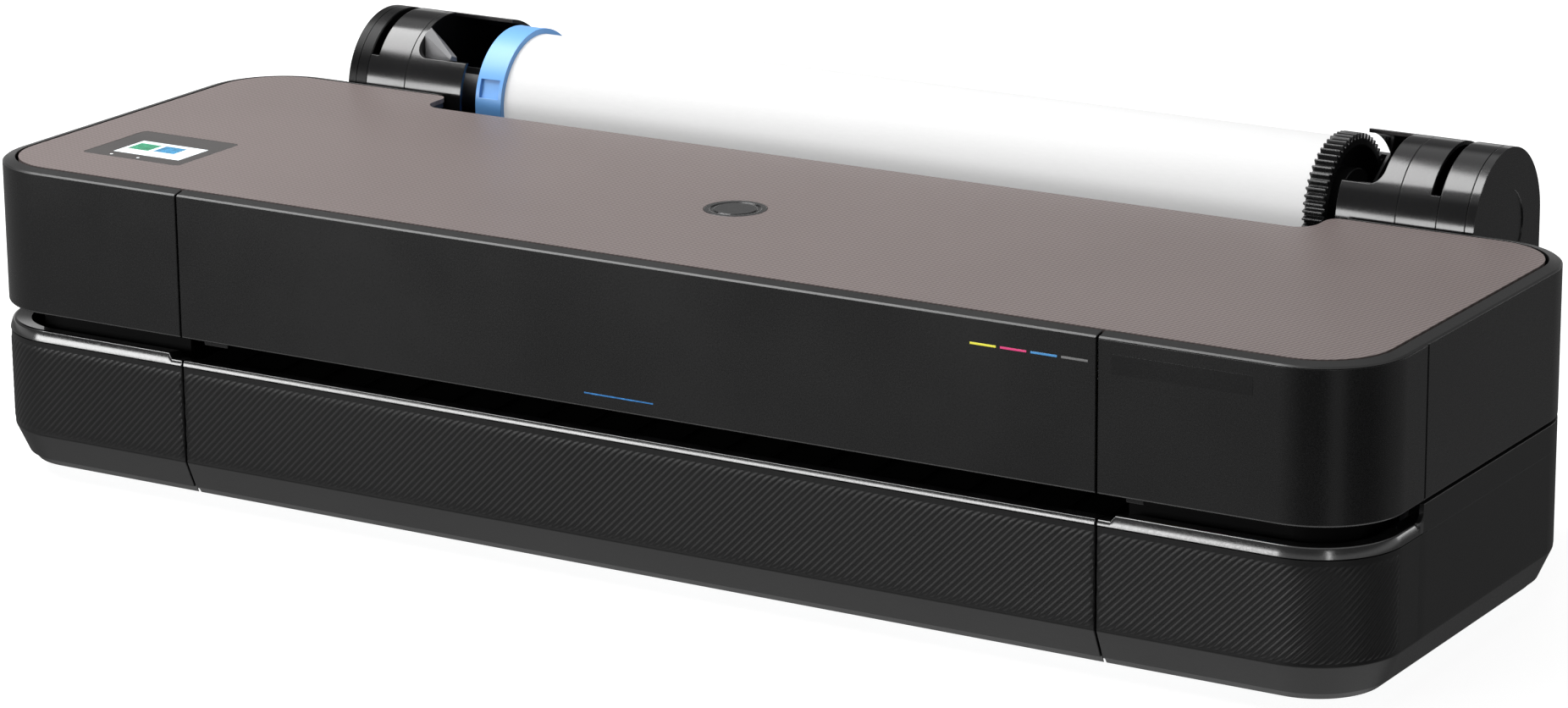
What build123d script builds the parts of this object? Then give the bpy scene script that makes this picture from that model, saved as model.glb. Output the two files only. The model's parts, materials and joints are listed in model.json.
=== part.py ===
"""Desktop roll-fed plotter for 24 inch media: cased printer body, rear roll bay and its mechanism.

Frame, in millimetres: +X to the right, -Y to the front, +Z up. The origin is the middle of the
footprint on the floor. Each function below makes one sub-part, and the list at the end names them all.
"""

import os
from math import cos, pi, radians, sin, sqrt

from build123d import *

# ---------------------------------------------------------------- driving dimensions
WIDTH = 1013.0  # casing, side to side
DEPTH = 420.0  # front face to the back of the roll bay
BODY_DEPTH = 318.0  # the cased body in front of the roll bay
PLAN_R = 55.0  # vertical corners of the casing
WALL = 3.0  # casing wall

FOOT_H = 10.0  # rubber feet
BASE_Z = FOOT_H  # lowest edge of the casing
BEND_Z = 34.0  # where the lower casing turns in to its chamfer
CHAMFER_IN = 10.9  # how far the chamfer goes in
LIP_Z = 99.0  # top of the lower casing's face, where its groove runs
CENTER_LIP_Z, END_LIP_Z = 102.4, 106.0  # tops of the glossy output lip, centre and ends
CENTER_LIP_LEAN, END_LIP_LEAN = 0.8, 2.2  # how far the lip leans back
LIP_T = 6.0  # thickness of the output lip
LIP_IN = 14.0  # depth of the output lip
SLOT_END_DEPTH = 9.0  # how far the slot goes in behind the lip at its two ends
SPLIT_Z = 117.6  # underside of the upper casing
SHOULDER_Z = 212.6  # top of the upright upper casing wall
TOP_Z = 215.0  # top panel
BEZEL_IN = 9.4  # width of the sloped rim round the top panel
PANEL_T = 3.0

SEAM_X = 335.0  # half width of the centre front pieces
SEAM_GAP = 1.5
HAIR_GAP = 0.6
RUN = 0.05  # radial clearance of a running fit
SIDE_SEAM_Y = -128.3  # rear edge of the ink door, and rear end of the output slot

ROLL_Z = 206.0  # roll axis height
HOUSING_R = 51.6  # roll holder arches
HOUSING_T = 2.6
HOUSING_END_X = 428.3
LEFT_CUT_X = -376.5  # inner walls of the two roll holders
RIGHT_CUT_X = 361.0
ARM_GAP_X = 328.6  # half width of the roll cover with its side clearance
BAY_EDGE_Y = 65.4  # front edge of the roll bay in the top panel
BAY_HALF_X = 336.0

ROLL_R = 44.5
CORE_R = 28.0
CORE_BORE_R = 25.4
ROLL_X0 = -301.4
ROLL_X1 = 309.2
FLANGE_R = 48.3
FLANGE_X0 = -322.8
GEAR_X1 = 323.2
SPINDLE_R = 8.0
FLANGE_TEETH = 60
DRIVE_TEETH = 20
FLANGE_MODULE = 1.55
DRIVE_ANGLE = 52.0  # of the drive gear, below the horizontal and towards the front

FRAME_X = 412.0  # inner side frames, outer face
FRAME_T = 2.0
FEED_Y, FEED_Z, FEED_R = -25.0, 100.0, 11.0
EXIT_Y, EXIT_Z, EXIT_R = -118.0, 101.0, 8.0
PINCH_R = 5.0
ROD_Y, ROD_Z, ROD_R = -52.0, 172.0, 5.0
BEAM_Y = -42.0  # front face of the carriage beam
BELT_Z, PULLEY_R, PULLEY_X = 190.0, 7.0, 398.0
CARRIAGE_X0, CARRIAGE_W = 313.0, 90.0
FEED_GEAR_TEETH, PINION_TEETH, FEED_MODULE = 60, 16, 1.0

COVER_PIVOT_IN = 14.0  # front cover pivot, behind the seam of the bezel
COVER_PIVOT_DOWN = 6.0  # and below the top surface
COVER_ARMS_X = (-300.0, 300.0)  # hinge arms of the front cover
DOOR_PIVOT_IN = 8.0  # ink door pivot, inside the side face
DOOR_PIVOT_BACK = 16.0  # and behind the door's rear edge
DOOR_LUGS_Z = (133.0, 187.0)

PLATE_X0, PLATE_X1, PLATE_Z0, PLATE_Z1, PLATE_T = 344.4, 435.4, 192.0, 204.0, 0.8
LIGHT_X0, LIGHT_X1, LIGHT_Z = -22.0, 28.5, 127.2
MARK_X0, MARK_LENGTH, MARK_PITCH, MARK_Z = 250.6, 17.6, 20.3, 197.6
SCREEN_X0, SCREEN_X1, SCREEN_Y0, SCREEN_Y1, SCREEN_T = -457.0, -377.0, -153.0, -85.0, 1.6
LCD_X0, LCD_X1, LCD_Y0, LCD_Y1 = -440.0, -386.0, -140.5, -108.0
BADGE_Y, BADGE_R, BADGE_T = -67.4, 20.6, 1.0

BAY_X0, CART_PITCH, CART_W = 346.0, 30.5, 26.0
CART_Y0, CART_Y1 = -186.0, -134.0
CART_Z0, CART_Z1 = 128.0, 196.0
INKS = ("yellow", "magenta", "cyan", "black")

STAND_X, STAND_Y, STAND_HOLE_R = 700.0, 220.0, 2.25  # M4 screws of an optional stand
INLET_X, PORTS_X, PORT_Z = 372.0, 300.0, 46.0
PORT_PANEL_X0, PORT_PANEL_X1, PORT_PANEL_Z0, PORT_PANEL_Z1 = 270.0, 394.0, 26.0, 66.0
SCREW_SPOTS = [(x, z) for x in (-400, -133, 133, 415) for z in (26.0, 134.0)]
VENT_X0, VENT_PITCH, VENT_COUNT = -250.0, 16.0, 24

ARCH_FOOT_Z = 150.0  # lower edge of the roll holders
WINDOW_ANGLE = 34.0  # top of the holders' front window, seen from the roll axis
GROOVE_W = 6.6
POCKET_ANGLE = 17.0  # first pocket in the end stop's rim, above the horizontal
COVER_TOP_DEG, COVER_BOTTOM_DEG = 32.0, -106.0  # edges of the open roll cover

# ---------------------------------------------------------------- derived places
FRONT_Y = -DEPTH / 2
BACK_Y = DEPTH / 2
BODY_BACK_Y = FRONT_Y + BODY_DEPTH
BODY_MID_Y = (FRONT_Y + BODY_BACK_Y) / 2
HALF_W = WIDTH / 2
ROLL_Y = BACK_Y - HOUSING_R
COVER_PIVOT_Y = FRONT_Y + BEZEL_IN + COVER_PIVOT_IN
COVER_PIVOT_Z = TOP_Z - COVER_PIVOT_DOWN
DOOR_PIVOT_X = HALF_W - DOOR_PIVOT_IN
DOOR_PIVOT_Y = SIDE_SEAM_Y + DOOR_PIVOT_BACK
PINCH_Z = FEED_Z + FEED_R + PINCH_R + 0.3
FEED_PITCH_R = FEED_GEAR_TEETH * FEED_MODULE / 2
PINION_PITCH_R = PINION_TEETH * FEED_MODULE / 2
PINION_REACH = (FEED_PITCH_R + PINION_PITCH_R + 0.15) / sqrt(2)
PINION_Y, PINION_Z = FEED_Y - PINION_REACH, FEED_Z - PINION_REACH
DRIVE_REACH = (FLANGE_TEETH + DRIVE_TEETH) * FLANGE_MODULE / 2 + 0.15
DRIVE_Y = ROLL_Y - DRIVE_REACH * cos(radians(DRIVE_ANGLE))
DRIVE_Z = ROLL_Z - DRIVE_REACH * sin(radians(DRIVE_ANGLE))
WINDOW_Z = ROLL_Z + HOUSING_R * sin(radians(WINDOW_ANGLE))
FRAME_TOP_Z = TOP_Z - PANEL_T


# ---------------------------------------------------------------- shared shapes
def block(x0, x1, y0, y1, z0, z1):
    """A box given by its six faces."""
    size = Box(x1 - x0, y1 - y0, z1 - z0)
    return Pos((x0 + x1) / 2, (y0 + y1) / 2, (z0 + z1) / 2) * size


def plan(inset=0.0):
    """The casing's rounded plan, moved inwards."""
    width, depth = WIDTH - 2 * inset, BODY_DEPTH - 2 * inset
    return Pos(0, BODY_MID_Y) * RectangleRounded(width, depth, PLAN_R - inset)


def prism(inset, z0, z1):
    """The casing's plan as an upright block."""
    return extrude(Pos(0, 0, z0) * plan(inset), z1 - z0)


def taper(inset0, z0, inset1, z1):
    """A block between two plans."""
    return loft([Pos(0, 0, z0) * plan(inset0), Pos(0, 0, z1) * plan(inset1)], ruled=True)


def rod_x(x0, x1, y, z, radius):
    """A cylinder along X."""
    return Pos((x0 + x1) / 2, y, z) * Rot(0, 90, 0) * Cylinder(radius, x1 - x0)


def rod_y(y0, y1, x, z, radius):
    """A cylinder along Y."""
    return Pos(x, (y0 + y1) / 2, z) * Rot(90, 0, 0) * Cylinder(radius, y1 - y0)


def rod_z(z0, z1, x, y, radius):
    """A cylinder along Z."""
    return Pos(x, y, (z0 + z1) / 2) * Cylinder(radius, z1 - z0)


def tube_x(x0, x1, y, z, outer, inner):
    """A tube along X."""
    return rod_x(x0, x1, y, z, outer) - rod_x(x0 - 1, x1 + 1, y, z, inner)


def side_profile(points, x0, x1):
    """A polygon in the YZ plane, given as (y, z), extruded from x0 to x1."""
    face = make_face(Polyline([(x0, y, z) for y, z in points], close=True))
    return extrude(face, x1 - x0, dir=(1, 0, 0))


def front_profile(points, y0, y1):
    """A polygon in the XZ plane, given as (x, z), extruded from y0 to y1."""
    face = make_face(Polyline([(x, y0, z) for x, z in points], close=True))
    return extrude(face, y1 - y0, dir=(0, 1, 0))


def gear_x(x0, x1, y, z, module, teeth, turn=0.0):
    """A spur gear along X with straight-sided teeth."""
    tip, root = module * (teeth / 2 + 0.95), module * (teeth / 2 - 1.25)
    pitch = 2 * pi / teeth
    points = []
    for tooth in range(teeth):
        middle = tooth * pitch + radians(turn)
        for radius, share in ((root, -0.36), (tip, -0.12), (tip, 0.12), (root, 0.36)):
            angle = middle + share * pitch
            points.append((y + radius * cos(angle), z + radius * sin(angle)))
    return side_profile(points, x0, x1)


def joined(shapes):
    """All the given shapes fused into one."""
    first, *rest = shapes
    return first.fuse(*rest) if rest else first


def group(shapes):
    """Separate solids kept as one sub-part."""
    return Compound(children=[solid for shape in shapes for solid in shape.solids()])


def mirrored(shape):
    """The same shape on the other side."""
    return mirror(shape, about=Plane.YZ)


# ---------------------------------------------------------------- lower casing
def lower_shell(top, lean):
    """The whole lower casing ring with its groove and output lip, before it is split."""
    outer = prism(0, BEND_Z, LIP_Z - 0.8) + taper(CHAMFER_IN, BASE_Z, 0, BEND_Z)
    outer += prism(1.5, LIP_Z - 0.8, LIP_Z) + taper(0, LIP_Z, lean, top)
    outer = fillet(outer.edges().group_by(Axis.Z)[-1], 1.5)
    hollow = prism(WALL, BEND_Z, top - LIP_T) + taper(CHAMFER_IN + WALL, BASE_Z, WALL, BEND_Z)
    return outer - hollow - prism(LIP_IN, BEND_Z, top + 1)


def lower_side(sign):
    """Lower casing end: front corner, side and rear corner. It is higher behind the output slot."""
    raised = prism(0, LIP_Z - LIP_T, SPLIT_Z - HAIR_GAP) - prism(WALL, LIP_Z - LIP_T - 1, SPLIT_Z)
    raised = raised & block(0, HALF_W, SIDE_SEAM_Y, BODY_BACK_Y, 0, TOP_Z)
    shell = lower_shell(END_LIP_Z, END_LIP_LEAN)
    end = (shell + raised) & block(SEAM_X + SEAM_GAP / 2, HALF_W, FRONT_Y, BODY_BACK_Y, 0, TOP_Z)
    end -= block(0, HOUSING_END_X + HAIR_GAP, BODY_BACK_Y - 20, BODY_BACK_Y + 1, 0, TOP_Z)
    return end if sign > 0 else mirrored(end)


def lower_center_cover():
    """Lower casing, centre front."""
    half = SEAM_X - SEAM_GAP / 2
    shell = lower_shell(CENTER_LIP_Z, CENTER_LIP_LEAN)
    return shell & block(-half, half, FRONT_Y, FRONT_Y + 40, 0, TOP_Z)


def base_pan():
    """Steel floor of the body and roll bay, with a rim and the holes for an optional stand."""
    front = prism(CHAMFER_IN + WALL + 0.5, BASE_Z + 2, BASE_Z + 4)
    reach = HOUSING_END_X - HOUSING_T - 0.5
    rear = block(-reach, reach, BODY_BACK_Y - 30, BACK_Y - HOUSING_T - 0.5, BASE_Z + 2, BASE_Z + 4)
    pan = front + rear
    for x in (-reach, reach - 1.5):
        pan += block(x, x + 1.5, BODY_BACK_Y - 5, BACK_Y - 10, BASE_Z + 2, BASE_Z + 16)
    for x in (-STAND_X / 2, STAND_X / 2):
        for y in (-STAND_Y / 2, STAND_Y / 2):
            pan -= rod_z(BASE_Z, BASE_Z + 8, x, y, STAND_HOLE_R)
    return pan


def feet():
    """Four rubber feet under the base pan."""
    spots = [(x, y) for x in (-410, 410) for y in (-140, 160)]
    return group([rod_z(0, BASE_Z + 2, x, y, 13) for x, y in spots])


# ---------------------------------------------------------------- upper casing
def upper_shell():
    """The whole upper casing ring with its sloped bezel, before it is split."""
    outer = prism(0, SPLIT_Z, SHOULDER_Z) + taper(0, SHOULDER_Z, BEZEL_IN, TOP_Z)
    hollow = prism(WALL, SPLIT_Z + WALL, SHOULDER_Z - 2.5) + prism(BEZEL_IN, SPLIT_Z - 1, TOP_Z + 1)
    return outer - hollow


def upper_end():
    """One end of the upper casing: front corner, side and rear corner."""
    end = upper_shell() & block(SEAM_X + SEAM_GAP / 2, HALF_W, FRONT_Y, BODY_BACK_Y, 0, TOP_Z)
    behind = ROLL_Y - HOUSING_R - HAIR_GAP
    end -= block(0, HOUSING_END_X + HAIR_GAP, behind, BODY_BACK_Y + 1, 0, TOP_Z + 1)
    return end - bay_cutout(HAIR_GAP, 0, TOP_Z + 1)


def door_zone(side_gap, top_gap):
    """The space of the ink door, with a gap for the opening that it closes."""
    top = SHOULDER_Z - HAIR_GAP + top_gap
    return block(SEAM_X, HALF_W + 1, FRONT_Y - 1, SIDE_SEAM_Y + side_gap, SPLIT_Z - 1, top)


def upper_left_cover():
    return mirrored(upper_end())


def upper_right_cover():
    """Upper casing, right: the side wall, and the bezel that runs on above the ink door."""
    cover = upper_end() - door_zone(SEAM_GAP, HAIR_GAP / 2)
    bracket = block(DOOR_PIVOT_X - 6, HALF_W - 1, DOOR_PIVOT_Y + 6, DOOR_PIVOT_Y + 10, 0, 8)
    lug = block(DOOR_PIVOT_X - 5, DOOR_PIVOT_X + 5, DOOR_PIVOT_Y - 5, DOOR_PIVOT_Y + 10, 0, 3)
    for z in DOOR_LUGS_Z:
        cover += Pos(0, 0, z) * (bracket + lug)
    return cover - rod_z(SPLIT_Z, SHOULDER_Z, DOOR_PIVOT_X, DOOR_PIVOT_Y, 2)


def ink_door():
    """Right front corner of the upper casing, hinged behind its side seam."""
    door = upper_end() & door_zone(0, 0)
    door -= block(PLATE_X0, PLATE_X1, FRONT_Y - 1, FRONT_Y + PLATE_T, PLATE_Z0, PLATE_Z1)
    door -= block(SEAM_X, HALF_W - WALL, SIDE_SEAM_Y - 4, SIDE_SEAM_Y + 1, SPLIT_Z - 1, SHOULDER_Z + 1)
    door += grip_tab(352, 364)
    for z in DOOR_LUGS_Z:
        hub = rod_z(0, 10, DOOR_PIVOT_X, DOOR_PIVOT_Y, 4.5)
        reach = DOOR_PIVOT_X - 22
        back = block(reach, DOOR_PIVOT_X, DOOR_PIVOT_Y - 2, DOOR_PIVOT_Y + 2, 0, 10)
        along = block(reach, reach + 4, DOOR_PIVOT_Y - 27, DOOR_PIVOT_Y + 2, 0, 10)
        out = block(reach, HALF_W - WALL, DOOR_PIVOT_Y - 27, DOOR_PIVOT_Y - 23, 0, 10)
        door += Pos(0, 0, z - 11) * (hub + back + along + out)
    return door - rod_z(SPLIT_Z, SHOULDER_Z, DOOR_PIVOT_X, DOOR_PIVOT_Y, 2 + RUN)


def name_plate():
    """Blank plate let into the ink door."""
    return block(PLATE_X0, PLATE_X1, FRONT_Y, FRONT_Y + PLATE_T, PLATE_Z0, PLATE_Z1)


def grip_tab(x0, x1):
    """A short tab under the front edge of the upper casing."""
    return block(x0, x1, FRONT_Y + 5, FRONT_Y + 7.5, SPLIT_Z - 3.5, SPLIT_Z + 1)


def inlay(x0, x1, z, height):
    """A thin bar let into the front cover."""
    return block(x0, x1, FRONT_Y, FRONT_Y + 1.2, z - height / 2, z + height / 2)


def status_light_bar():
    return inlay(LIGHT_X0, LIGHT_X1, LIGHT_Z, 1.4)


def ink_colour_marks():
    """Four short coloured bars, one for each ink."""
    starts = [MARK_X0 + MARK_PITCH * i for i in range(4)]
    return group([inlay(x, x + MARK_LENGTH, MARK_Z, 1.4) for x in starts])


def front_cover():
    """Centre front of the upper casing with its own part of the bezel. It swings up."""
    half = SEAM_X - SEAM_GAP / 2
    cover = upper_shell() & block(-half, half, FRONT_Y, FRONT_Y + BEZEL_IN, 0, TOP_Z)
    for x in (-half, half - 2):
        cover += block(x, x + 2, FRONT_Y + 1, FRONT_Y + 16, SPLIT_Z, COVER_PIVOT_Z - 24)
    for x in COVER_ARMS_X:
        hub = rod_x(x - 5, x + 5, COVER_PIVOT_Y, COVER_PIVOT_Z, 2.9)
        arm_y, arm_z = COVER_PIVOT_Y + 2.4, COVER_PIVOT_Z - 23
        down = block(x - 5, x + 5, COVER_PIVOT_Y - 2, arm_y, arm_z, COVER_PIVOT_Z)
        foot = block(x - 5, x + 5, FRONT_Y + 2, arm_y, arm_z, arm_z + 5)
        cover += hub + down + foot
    cover += grip_tab(-320, -301)
    cover -= rod_x(-half, half, COVER_PIVOT_Y, COVER_PIVOT_Z, 1.5 + RUN)
    cover -= status_light_bar()
    for mark in ink_colour_marks().solids():
        cover -= mark
    return cover


def hinge_pins():
    """Two pins of the front cover, held in ears of the top frame, and two of the ink door."""
    cover = [rod_x(x - 8, x + 8, COVER_PIVOT_Y, COVER_PIVOT_Z, 1.5) for x in COVER_ARMS_X]
    door = [rod_z(z - 12, z + 3, DOOR_PIVOT_X, DOOR_PIVOT_Y, 2) for z in DOOR_LUGS_Z]
    return group(cover + door)


# ---------------------------------------------------------------- top
def bay_cutout(grow, z0, z1):
    """The roll bay's outline in the top, with S-curved corners."""
    half, front = BAY_HALF_X + grow, BAY_EDGE_Y - grow
    back = BODY_BACK_Y - BEZEL_IN - HAIR_GAP
    shape = Pos(0, front) * Rectangle(2 * half, 200, align=(Align.CENTER, Align.MIN))
    shape = fillet(shape.vertices().group_by(Axis.Y)[0], 14)
    flare = 9.0
    for side in (-1, 1):
        corner = Pos(side * (half + flare / 2), back - flare / 2) * Rectangle(flare, flare)
        corner -= Pos(side * (half + flare), back - flare) * Circle(flare)
        shape += corner
        shape += Pos(side * (half + flare / 2), back + 10) * Rectangle(flare, 20)
    return extrude(Pos(0, 0, z0) * shape, z1 - z0)


def screen_plate(inset, z0, z1):
    """The control panel's rounded outline as a plate."""
    width, depth = SCREEN_X1 - SCREEN_X0 - 2 * inset, SCREEN_Y1 - SCREEN_Y0 - 2 * inset
    middle = Pos((SCREEN_X0 + SCREEN_X1) / 2, (SCREEN_Y0 + SCREEN_Y1) / 2, z0)
    return extrude(middle * RectangleRounded(width, depth, max(4 - inset, 1)), z1 - z0)


def top_panel():
    """Flat woven-look top, let into the bezel, cut out for the roll bay, screen and badge."""
    panel = prism(BEZEL_IN + HAIR_GAP * 2, TOP_Z - PANEL_T, TOP_Z)
    panel -= bay_cutout(0, 0, TOP_Z + 1)
    panel -= screen_plate(0, TOP_Z - SCREEN_T, TOP_Z + 1)
    panel -= screen_plate(5, 0, TOP_Z)
    return panel - rod_z(TOP_Z - BADGE_T, TOP_Z + 1, 0, BADGE_Y, BADGE_R)


def badge():
    return rod_z(TOP_Z - BADGE_T, TOP_Z, 0, BADGE_Y, BADGE_R)


def screen_glass():
    return screen_plate(0, TOP_Z - SCREEN_T, TOP_Z)


def lcd_module():
    """Display and touch board under the glass."""
    module = block(LCD_X0, LCD_X1, LCD_Y0, LCD_Y1, TOP_Z - SCREEN_T - 2.5, TOP_Z - SCREEN_T)
    return module + screen_plate(7, TOP_Z - SCREEN_T - 4, TOP_Z - SCREEN_T - 2.5)


def top_frame():
    """Ribbed frame that carries the top panel, the front cover's ears and the roll bay's front wall."""
    top, low = FRAME_TOP_Z, FRAME_TOP_Z - 4.0
    frame = prism(BEZEL_IN + 4, low, top) - prism(BEZEL_IN + 22, low - 1, top + 1)
    frame &= block(-HALF_W, HALF_W, COVER_PIVOT_Y + 22, BODY_BACK_Y, low, top)
    frame += block(-HALF_W + 25, HALF_W - 25, COVER_PIVOT_Y + 22, COVER_PIVOT_Y + 40, low, top)
    frame += block(-HALF_W + 25, HALF_W - 25, BAY_EDGE_Y - 22, BAY_EDGE_Y - 1, low, top)
    for x in (-372, -358, 0, 350, 480):
        frame += block(x - 6, x + 6, COVER_PIVOT_Y + 30, BAY_EDGE_Y - 10, low, top)
    frame -= bay_cutout(1, 0, TOP_Z)
    frame -= screen_plate(5, 0, TOP_Z)
    frame += block(-BAY_HALF_X + 8, BAY_HALF_X - 8, BAY_EDGE_Y - 4, BAY_EDGE_Y - 1.5, 173, top)
    for x in COVER_ARMS_X:
        for ear in (x - 8, x + 5.5):
            y0, y1 = COVER_PIVOT_Y - 2.9, COVER_PIVOT_Y + 26
            frame += block(ear, ear + 2.5, y0, y1, COVER_PIVOT_Z - 2.9, top)
    return frame - rod_x(-HALF_W, HALF_W, COVER_PIVOT_Y, COVER_PIVOT_Z, 1.5)


# ---------------------------------------------------------------- output slot
def output_guide():
    """Sloped plate from the exit roller to the output lip, and the walls that close the slot's ends."""
    y0, y1 = FRONT_Y + LIP_IN + 0.6, EXIT_Y - EXIT_R - 2
    front = CENTER_LIP_Z - 4
    plate = side_profile([(y0, front), (y1, EXIT_Z + 3), (y1, EXIT_Z + 1), (y0, front - 2)], -333, 333)
    for i in range(-9, 10):
        rib = [(y0, front), (y1, EXIT_Z + 3), (y1, EXIT_Z + 4.5), (y0, front + 1.5)]
        plate += side_profile(rib, i * 34 - 0.8, i * 34 + 0.8)
    inner = LIP_IN + SLOT_END_DEPTH
    ring = prism(inner, LIP_Z - 6, SPLIT_Z + 0.4) - prism(inner + 2, LIP_Z - 7, SPLIT_Z + 1)
    ring += prism(LIP_IN + 0.6, LIP_Z - 5.5, LIP_Z - 4) - prism(inner + 1, LIP_Z - 6, LIP_Z)
    end = ring & block(SEAM_X + 10, HALF_W, FRONT_Y, SIDE_SEAM_Y + 8, 0, TOP_Z)
    return group([plate, end, mirrored(end)])


# ---------------------------------------------------------------- print mechanism
def side_frames():
    """Two steel side plates that carry the shafts, guide rod and beam."""
    plate = block(FRAME_X - FRAME_T, FRAME_X, -126, 58, BASE_Z + 4, 206)
    plate -= rod_x(0, HALF_W, FEED_Y, FEED_Z, 8)
    plate -= rod_x(0, HALF_W, EXIT_Y, EXIT_Z, 5)
    plate -= rod_x(0, HALF_W, FEED_Y, PINCH_Z, 2 + RUN)
    plate -= rod_x(0, HALF_W, ROD_Y, ROD_Z, ROD_R)
    plate -= block(0, HALF_W, 5, 45, 40, 90)
    return group([plate, mirrored(plate)])


def shaft_bushings():
    """Plain bearings of the feed and exit shafts, pressed into the side frames."""
    inner = FRAME_X - FRAME_T - 1.5
    feed = tube_x(inner, FRAME_X, FEED_Y, FEED_Z, 8, 5 + RUN)
    out = tube_x(inner, FRAME_X, EXIT_Y, EXIT_Z, 5, 3 + RUN)
    return group([feed, out, mirrored(feed), mirrored(out)])


def feed_roller():
    """Main feed roller: steel shaft, one long gritted barrel, and the gear on its left end."""
    gear = gear_x(-FRAME_X - 10, -FRAME_X - 2, FEED_Y, FEED_Z, FEED_MODULE, FEED_GEAR_TEETH)
    for i in range(6):
        angle = radians(60 * i + 30)
        gear -= rod_x(-FRAME_X - 11, -FRAME_X, FEED_Y + 18 * cos(angle), FEED_Z + 18 * sin(angle), 5)
    shaft = rod_x(-FRAME_X - 12, FRAME_X + 3, FEED_Y, FEED_Z, 5)
    return gear + shaft + rod_x(-320, 320, FEED_Y, FEED_Z, FEED_R)


def feed_motor():
    """Stepper motor of the feed, on the outside of the left frame."""
    back = -FRAME_X - 11
    body = rod_x(back - 34, back - 2, PINION_Y, PINION_Z, 19)
    flange = block(back - 2, back, PINION_Y - 24, PINION_Y + 24, PINION_Z - 20, PINION_Z + 20)
    posts = [rod_x(back, -FRAME_X, PINION_Y + y, PINION_Z - 16, 3) for y in (-20, 20)]
    return joined([body, flange, *posts]) - rod_x(back - 12, back + 1, PINION_Y, PINION_Z, 2.5 + RUN)


def feed_pinion():
    """Pinion and shaft of the feed motor, in mesh with the feed gear."""
    gear = gear_x(-FRAME_X - 10, -FRAME_X - 2, PINION_Y, PINION_Z, FEED_MODULE, PINION_TEETH)
    return gear + rod_x(-FRAME_X - 22, -FRAME_X - 2, PINION_Y, PINION_Z, 2.5)


def pinch_rollers():
    """Shaft with eight rubber rollers that press the sheet on the feed roller."""
    shaft = rod_x(-FRAME_X - 1, FRAME_X + 1, FEED_Y, PINCH_Z, 2)
    rollers = [rod_x(x - 14, x + 14, FEED_Y, PINCH_Z, PINCH_R) for x in range(-280, 281, 80)]
    return joined([shaft, *rollers])


def exit_roller():
    """Shaft with rubber rings that pushes the printed sheet out."""
    shaft = rod_x(-FRAME_X - 2, FRAME_X + 2, EXIT_Y, EXIT_Z, 3)
    rings = [rod_x(x - 8, x + 8, EXIT_Y, EXIT_Z, EXIT_R) for x in range(-300, 301, 60)]
    return joined([shaft, *rings])


def platen():
    """Ribbed bed that holds the sheet flat under the printhead, on four webs from the base pan."""
    y0, y1 = EXIT_Y + EXIT_R + 2, FEED_Y - FEED_R - 2
    bed = block(-FRAME_X + 4, 308, y0, y1, 96, 107)
    for i in range(-17, 14):
        bed += block(i * 22 - 1, i * 22 + 1, y0 + 4, y1 - 4, 107, 109)
    for x in (-400, -150, 60, 290):
        bed += block(x, x + 3, y0 + 6, y1 - 6, BASE_Z + 4, 96)
    return bed


def carriage_beam():
    """Steel channel across the machine behind the carriage."""
    reach = FRAME_X - FRAME_T
    beam = block(-reach, reach, BEAM_Y, BEAM_Y + 30, 128, 206)
    beam -= block(-reach, reach, BEAM_Y + 2, BEAM_Y + 31, 130, 204)
    beam -= rod_y(BEAM_Y - 1, BEAM_Y + 3, -PULLEY_X, BELT_Z, 3)
    return beam - rod_y(BEAM_Y - 1, BEAM_Y + 3, PULLEY_X, BELT_Z, 2)


def carriage_rod():
    return rod_x(-FRAME_X, FRAME_X, ROD_Y, ROD_Z, ROD_R)


def carriage():
    """Printhead carrier: it slides on the guide rod and carries the belt clamp and encoder fork."""
    x0, x1 = CARRIAGE_X0, CARRIAGE_X0 + CARRIAGE_W
    middle = (x0 + x1) / 2
    body = block(x0, x1, -122, BEAM_Y - 1.5, 124, 178)
    body = fillet(body.edges().filter_by(Axis.Z).group_by(Axis.Y)[0], 6)
    body -= block(x0 + 6, x1 - 6, -116, -66, 140, 179)
    body -= rod_x(x0 - 1, x1 + 1, ROD_Y, ROD_Z, ROD_R + RUN)
    body -= block(x0 + 14, x1 - 14, -108, -74, 120, 141)
    low_run = BELT_Z - PULLEY_R
    clamp = block(middle - 10, middle + 10, -52, -43.5, 177, 187)
    clamp -= block(middle - 11, middle + 11, -50.3, -43.7, low_run - 1.2, low_run + 1.2)
    fork = block(middle - 6, middle + 6, -66, -56, 177, 190)
    fork -= block(middle - 7, middle + 7, -61.7, -60.3, 181, 191)
    return body + clamp + fork


def printhead():
    """Head block under the carriage, with its four nozzle rows facing down."""
    x0, x1 = CARRIAGE_X0 + 14, CARRIAGE_X0 + CARRIAGE_W - 14
    head = block(x0, x1, -108, -74, 119, 150)
    for i in range(4):
        head -= block(x0 + 8 + 14 * i, x0 + 12 + 14 * i, -104, -78, 118, 119.6)
    return head


def encoder_strip():
    return block(-FRAME_X + FRAME_T, FRAME_X - FRAME_T, -61.2, -60.8, 182, 190)


def drive_belt():
    """Toothed belt round the two pulleys, as a plain loop."""
    y0, y1 = -50, -44
    radius = PULLEY_R + 0.8
    loop = block(-PULLEY_X, PULLEY_X, y0, y1, BELT_Z - radius, BELT_Z + radius)
    hole = block(-PULLEY_X, PULLEY_X, y0 - 1, y1 + 1, BELT_Z - PULLEY_R - 0.05, BELT_Z + PULLEY_R + 0.05)
    for x in (-PULLEY_X, PULLEY_X):
        loop += rod_y(y0, y1, x, BELT_Z, radius)
        hole += rod_y(y0 - 1, y1 + 1, x, BELT_Z, PULLEY_R + 0.05)
    return loop - hole


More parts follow.
